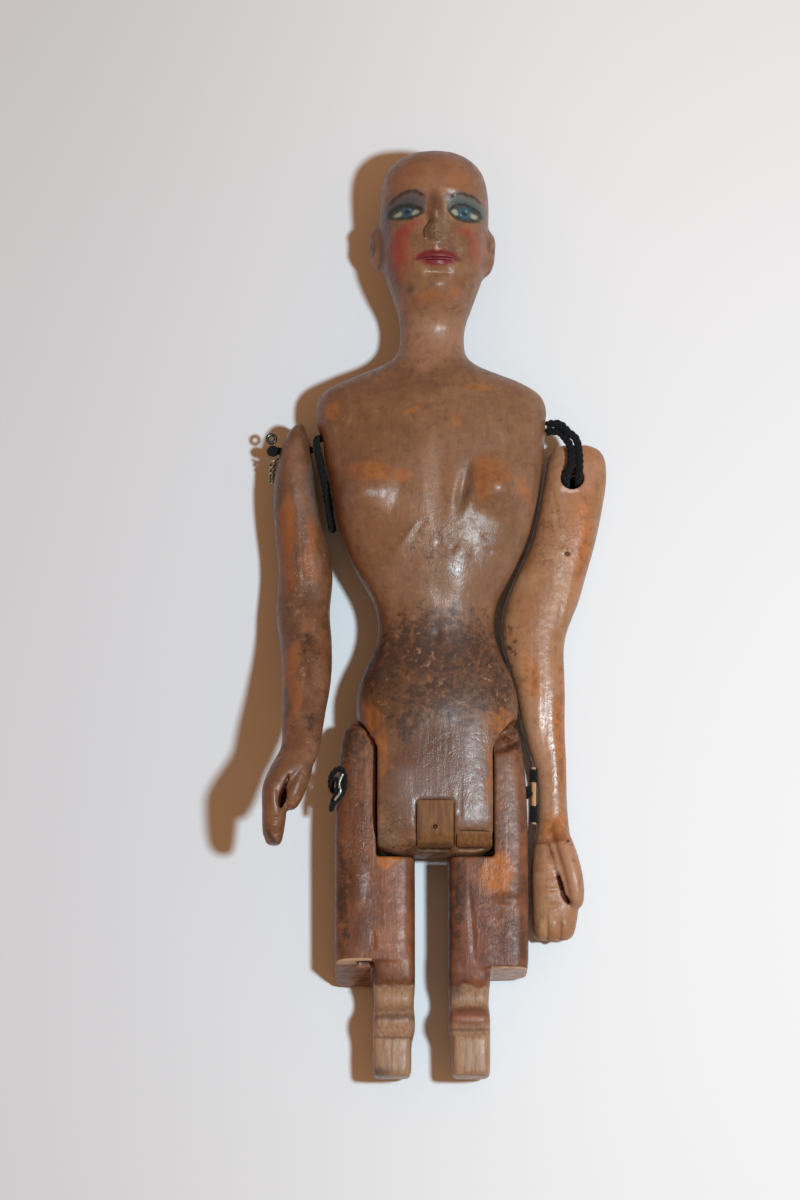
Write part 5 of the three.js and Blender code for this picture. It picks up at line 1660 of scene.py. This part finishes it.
def cordMaterial():
    material, tree, shader = newMaterial("blackCord")
    fibres = noiseAt(tree, places(tree), *cordLook["fibres"])
    feedAll(tree, shader, {
        "Base Color": between(tree, fibres, *cordLook["range"], *cordLook["colours"]),
        "Normal": bumped(tree, fibres, *cordLook["bump"]),
    })
    feedAll(tree, shader, cordLook["finish"])
    return material


def metalMaterial(name, bright, dull, roughness):
    material, tree, shader = newMaterial(name)
    tarnish = noiseAt(tree, places(tree), *metalLook["tarnish"])
    roughest = roughness + metalLook["roughSpread"]
    feedAll(tree, shader, {
        "Base Color": between(tree, tarnish, *metalLook["range"], bright, dull),
        "Metallic": 1,
        "Roughness": ramp(tree, tarnish, *metalLook["roughRange"], roughness, roughest),
    })
    return material


def softenCord(piece):
    # the plies are uneven, as hand-twisted thread is
    points, normals = readSkin(piece)
    rise, scale = cords["unevenness"]
    for index, point in enumerate(points):
        points[index] += normals[index] * rise * noise.noise(Vector(point) * scale)
    writePoints(piece, points)


def finishCord(cord, body, node):
    softenCord(cord)
    dress(cord, blackCord, body, "black_cord", node)


def knotLines(centre, half):
    # a tight overhand knot as three crossing turns
    lines = []
    for tilt, turn in cords["knotTurns"]:
        line = []
        for step in range(33):
            angle = 2 * math.pi * step / 32
            x, y, z = math.cos(angle), math.sin(angle) * math.cos(tilt), math.sin(angle) * math.sin(tilt)
            across = x * math.cos(turn) - y * math.sin(turn)
            up = x * math.sin(turn) + y * math.cos(turn)
            line.append(Vector((
                centre[0] + across * half[0], centre[1] + up * half[1], centre[2] + z * half[2])))
        lines.append(line)
    return lines


def cornersOf(node):
    return [Vector(corner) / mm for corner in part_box(node)]


def middleOf(node):
    low, high = cornersOf(node)
    return (low + high) / 2, (high - low) / 2


def placed(rows, x, y, z=0):
    # points that are given from an anchor
    return [(x + right, y + up, z + out) for right, up, out in rows]


def besideChest(y, inset):
    return -(bodyEdge(y, -1) + inset)


def makeCords():
    for node, (atMouth, atHole) in cords["leftStrands"].items():
        points = placed(atMouth, *cords["mouth"]) + placed(atHole, *leftHole())
        finishCord(twistedCord(node + "_twisted", points, cords["leftStrand"]), "left_arm", node)
    centre, half = middleOf("left_cord_knot")
    thin = cords["knotStrand"]
    knot = tubeMesh("left_knot", knotLines(centre, half - Vector((thin, thin, 0.8 * thin))), 8, thin)
    dress(knot, blackCord, "left_arm", "black_cord", "left_cord_knot")
    y, z = cords["slackFrom"]
    slack = [(-28.2, y + 0.7, z + 0.6), (besideChest(y - 0.5, 1.2), y - 0.2, z + 1)]
    slack += [(besideChest(y - down, out), y - down, z + up) for down, out, up in cords["slack"]]
    slack.append((-29.45, y - 1.6, z - 2.2))
    finishCord(twistedCord("right_slack_twisted", slack, cords["strand"]), "root", "right_cord_slack")
    print("cords laid")


def outsideKnot():
    centre, half = middleOf("right_shoulder_cord")
    return centre[0] - half[0] + 1.6, *arms["rightHole"]


fittings = {
    "knot": ((0.85, 0.75, 0.85), 0.72),
    "ringWire": 0.9,
    "ringTurns": 1.12,
    "ringStart": 0.6,
    "ringRise": 0.2,
    "hookTop": (-1.8, -0.4),
    "hookAlong": (-0.4, -5.4, -1.4),
    "hookRadius": 0.5,
    "hookSpread": 1.25,
    "hookTurns": 2,
    "hookWire": 0.33,
    "sides": 12,
    "steps": 48,
}


def makeRightFittings():
    knotAt = outsideKnot()
    x, holeY, holeZ = knotAt
    through = [(-30.8, 2.9, 10.8), (-33.1, holeY, holeZ), (x + 4, holeY, holeZ), (x + 0.6, holeY, holeZ)]
    cord = twistedCord("right_cord_twisted", through, cords["strand"])
    half, strand = fittings["knot"]
    joinInto(cord, [tubeMesh("right_knot", knotLines(knotAt, half), 8, strand)])
    finishCord(cord, "right_arm", "right_shoulder_cord")
    centre, half = middleOf("dark_ring")
    wire, steps = fittings["ringWire"], fittings["steps"]
    radius = half[0] - wire / 2
    line = []
    for step in range(steps + 1):
        share = step / steps
        angle = 2 * math.pi * fittings["ringTurns"] * share + fittings["ringStart"]
        rise = (share - 0.5) * wire * fittings["ringRise"]
        line.append(centre + Vector((radius * math.cos(angle), radius * math.sin(angle), rise)))
    ring = tubeMesh("dark_ring_wire", [line], fittings["sides"], wire / 2)
    dark = metalMaterial("darkMetal", (96, 98, 92), (34, 36, 34), 0.2)
    dress(ring, dark, "right_arm", "dark_metal", "dark_ring")
    makeHook(*knotAt)


def makeHook(x, y, z):
    # one wire, twisted on itself to a point, its two ends spread where they hold the cord
    below, behind = fittings["hookTop"]
    top, along = Vector((x, y + below, z + behind)), Vector(fittings["hookAlong"])
    across = Vector((0, 0, 1)).cross(along).normalized()
    out = along.normalized().cross(across)
    radius, spread, steps = fittings["hookRadius"], fittings["hookSpread"], fittings["steps"]
    strand = []
    for phase, order in ((0, range(steps + 1)), (math.pi, range(steps, -1, -1))):
        if phase:
            strand.append(top + along * (1 + 1.4 * radius / along.length))
        for step in order:
            share = step / steps
            angle = 2 * math.pi * fittings["hookTurns"] * share + phase
            wide = radius + (spread - radius) * (1 - share) ** 3
            strand.append(
                top + along * share + wide * math.cos(angle) * across + radius * math.sin(angle) * out)
    hook = tubeMesh("twisted_hook_wire", [strand], fittings["sides"], fittings["hookWire"])
    brass = metalMaterial("brassWire", (190, 176, 146), (104, 92, 70), 0.28)
    dress(hook, brass, "right_arm", "brass_wire", "twisted_hook")


def makeRightHip():
    # the cord loops over the thigh's front edge, under a bent wire pin
    y, z = torso["hipAxis"]
    anchor = (-(thighInner(-1) + thighs["width"]), y, thighs["front"] + cords["overFront"])
    loop = [(-torso["blockHalf"] - 0.6, y, z)] + placed(cords["hipLoop"], *anchor)
    cord = twistedCord("right_hip_twisted", loop, cords["hipStrand"])
    second = placed(cords["hipSecond"], *anchor)
    joinInto(cord, [twistedCord("right_hip_strand", second, cords["hipSecondStrand"])])
    finishCord(cord, "right_thigh", "right_hip_cord")
    bends = placed(cords["hipPin"], *anchor)
    pin = tubeMesh("right_hip_pin_wire", [smoothPath(bends, 0.25)], fittings["sides"], cords["wire"] / 2)
    silver = metalMaterial("pinWire", (196, 190, 180), (112, 102, 90), 0.3)
    dress(pin, silver, "right_thigh", "silver_wire", "right_hip_pin")


def makeLeftHip():
    # a peg over the bore, lashed with thread at both ends
    y, z = torso["hipAxis"]
    x = middleOf("left_hip_toggle")[0][0]
    through = [(torso["blockHalf"] + 0.6, y, z), (19, y, z), (x - 0.8, y, z)]
    finishCord(twistedCord("left_hip_twisted", through, cords["thick"]), "left_thigh", "left_hip_cord")
    top = y + cords["pegRise"]
    bottom = top - cords["pegLength"]
    makePeg(x, bottom, top, z)
    inset = 0.3 + cords["thread"] / 2
    upper, lower = cords["turns"]
    for node, start, turns in (
            ("left_hip_lashing_upper", top - inset - upper * cords["threadPitch"], upper),
            ("left_hip_lashing_lower", bottom + inset, lower)):
        thread = tubeMesh(node + "_thread", [lashingLine(x, start, z, turns)], 8, cords["thread"] / 2)
        dress(thread, blackCord, "left_thigh", "black_cord", node)


def lashingLine(x, y, z, turns):
    radius = (cords["peg"] + cords["thread"]) / 2 + 0.02
    line = [Vector((x + radius, y, z - cords["thread"]))]
    for step in range(turns * 36 + 1):
        angle = 2 * math.pi * step / 36
        height = y + cords["threadPitch"] * step / 36
        line.append(Vector((x + radius * math.cos(angle), height, z + radius * math.sin(angle))))
    line.append(Vector((x + radius, y + turns * cords["threadPitch"], z + cords["thread"])))
    return line


def makePeg(x, bottom, top, z):
    # a whittled sliver of pale wood
    peg = addBar((x, bottom, z), (x, top, z), cords["peg"], 16)
    peg.name = "hip_peg"
    enterEdit(peg)
    bpy.ops.mesh.bevel(offset=0.15 * mm, segments=2)
    bpy.ops.object.mode_set(mode="OBJECT")
    reskin(peg, 0.1, 0)
    whittle(peg, *cords["pegKnife"])
    dress(peg, bareWood("pegWood", *woodLook["peg"], []), "left_thigh", "pale_peg", "left_hip_toggle")


def makeCrownNail(material):
    # a forged nail: flat head, round shank and a drawn point
    low, high = cornersOf("crown_nail")
    x = high[0] - nails["head"] / 2
    head, point = Vector((x, high[1], nails["level"])), Vector((x, low[1], nails["level"]))
    along = (point - head).normalized()
    nail = addBar(head, head + along * nails["headHeight"], nails["head"], 20)
    nail.name = "crown_nail_forged"
    shank = addBar(head + along * nails["sink"], point - along * nails["shankEnd"], nails["shank"], 16)
    tip = tubeMesh("tip", [[point - along * nails["pointLength"], point]], 16, nails["shank"] / 2)
    for vertex in tip.data.vertices:
        if (vertex.co / mm - point).length < nails["shank"]:
            vertex.co = (point + (vertex.co / mm - point) * nails["pointShare"]) * mm
    joinInto(nail, [shank, tip])
    reskin(nail, nails["voxel"], 1)
    whittle(nail, *nails["knife"])
    dress(nail, material, "root", "iron_nail", "crown_nail")


def makeBrad(material):
    low, high = cornersOf("patch_brad")
    x, y = ((low + high) / 2)[:2]
    brad = addBar((x, y, low[2]), (x, y, high[2]), high[0] - low[0], 16)
    brad.name = "patch_brad_forged"
    reskin(brad, nails["voxel"], 1)
    dress(brad, material, "root", "iron_nail", "patch_brad")


blackCord = cordMaterial()
makeCords()
makeRightFittings()
makeRightHip()
makeLeftHip()
# the solids of the cord inside the bores are shown as they are
for node in ("shoulder_cord_core", "hip_cord_core", "left_cord_stub"):
    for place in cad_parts[node].material_slots:
        place.material = blackCord
oldIron = metalMaterial("oldIron", (92, 80, 70), (52, 36, 28), 0.45)
makeCrownNail(oldIron)
makeBrad(oldIron)
print("cords, fittings and nails made")
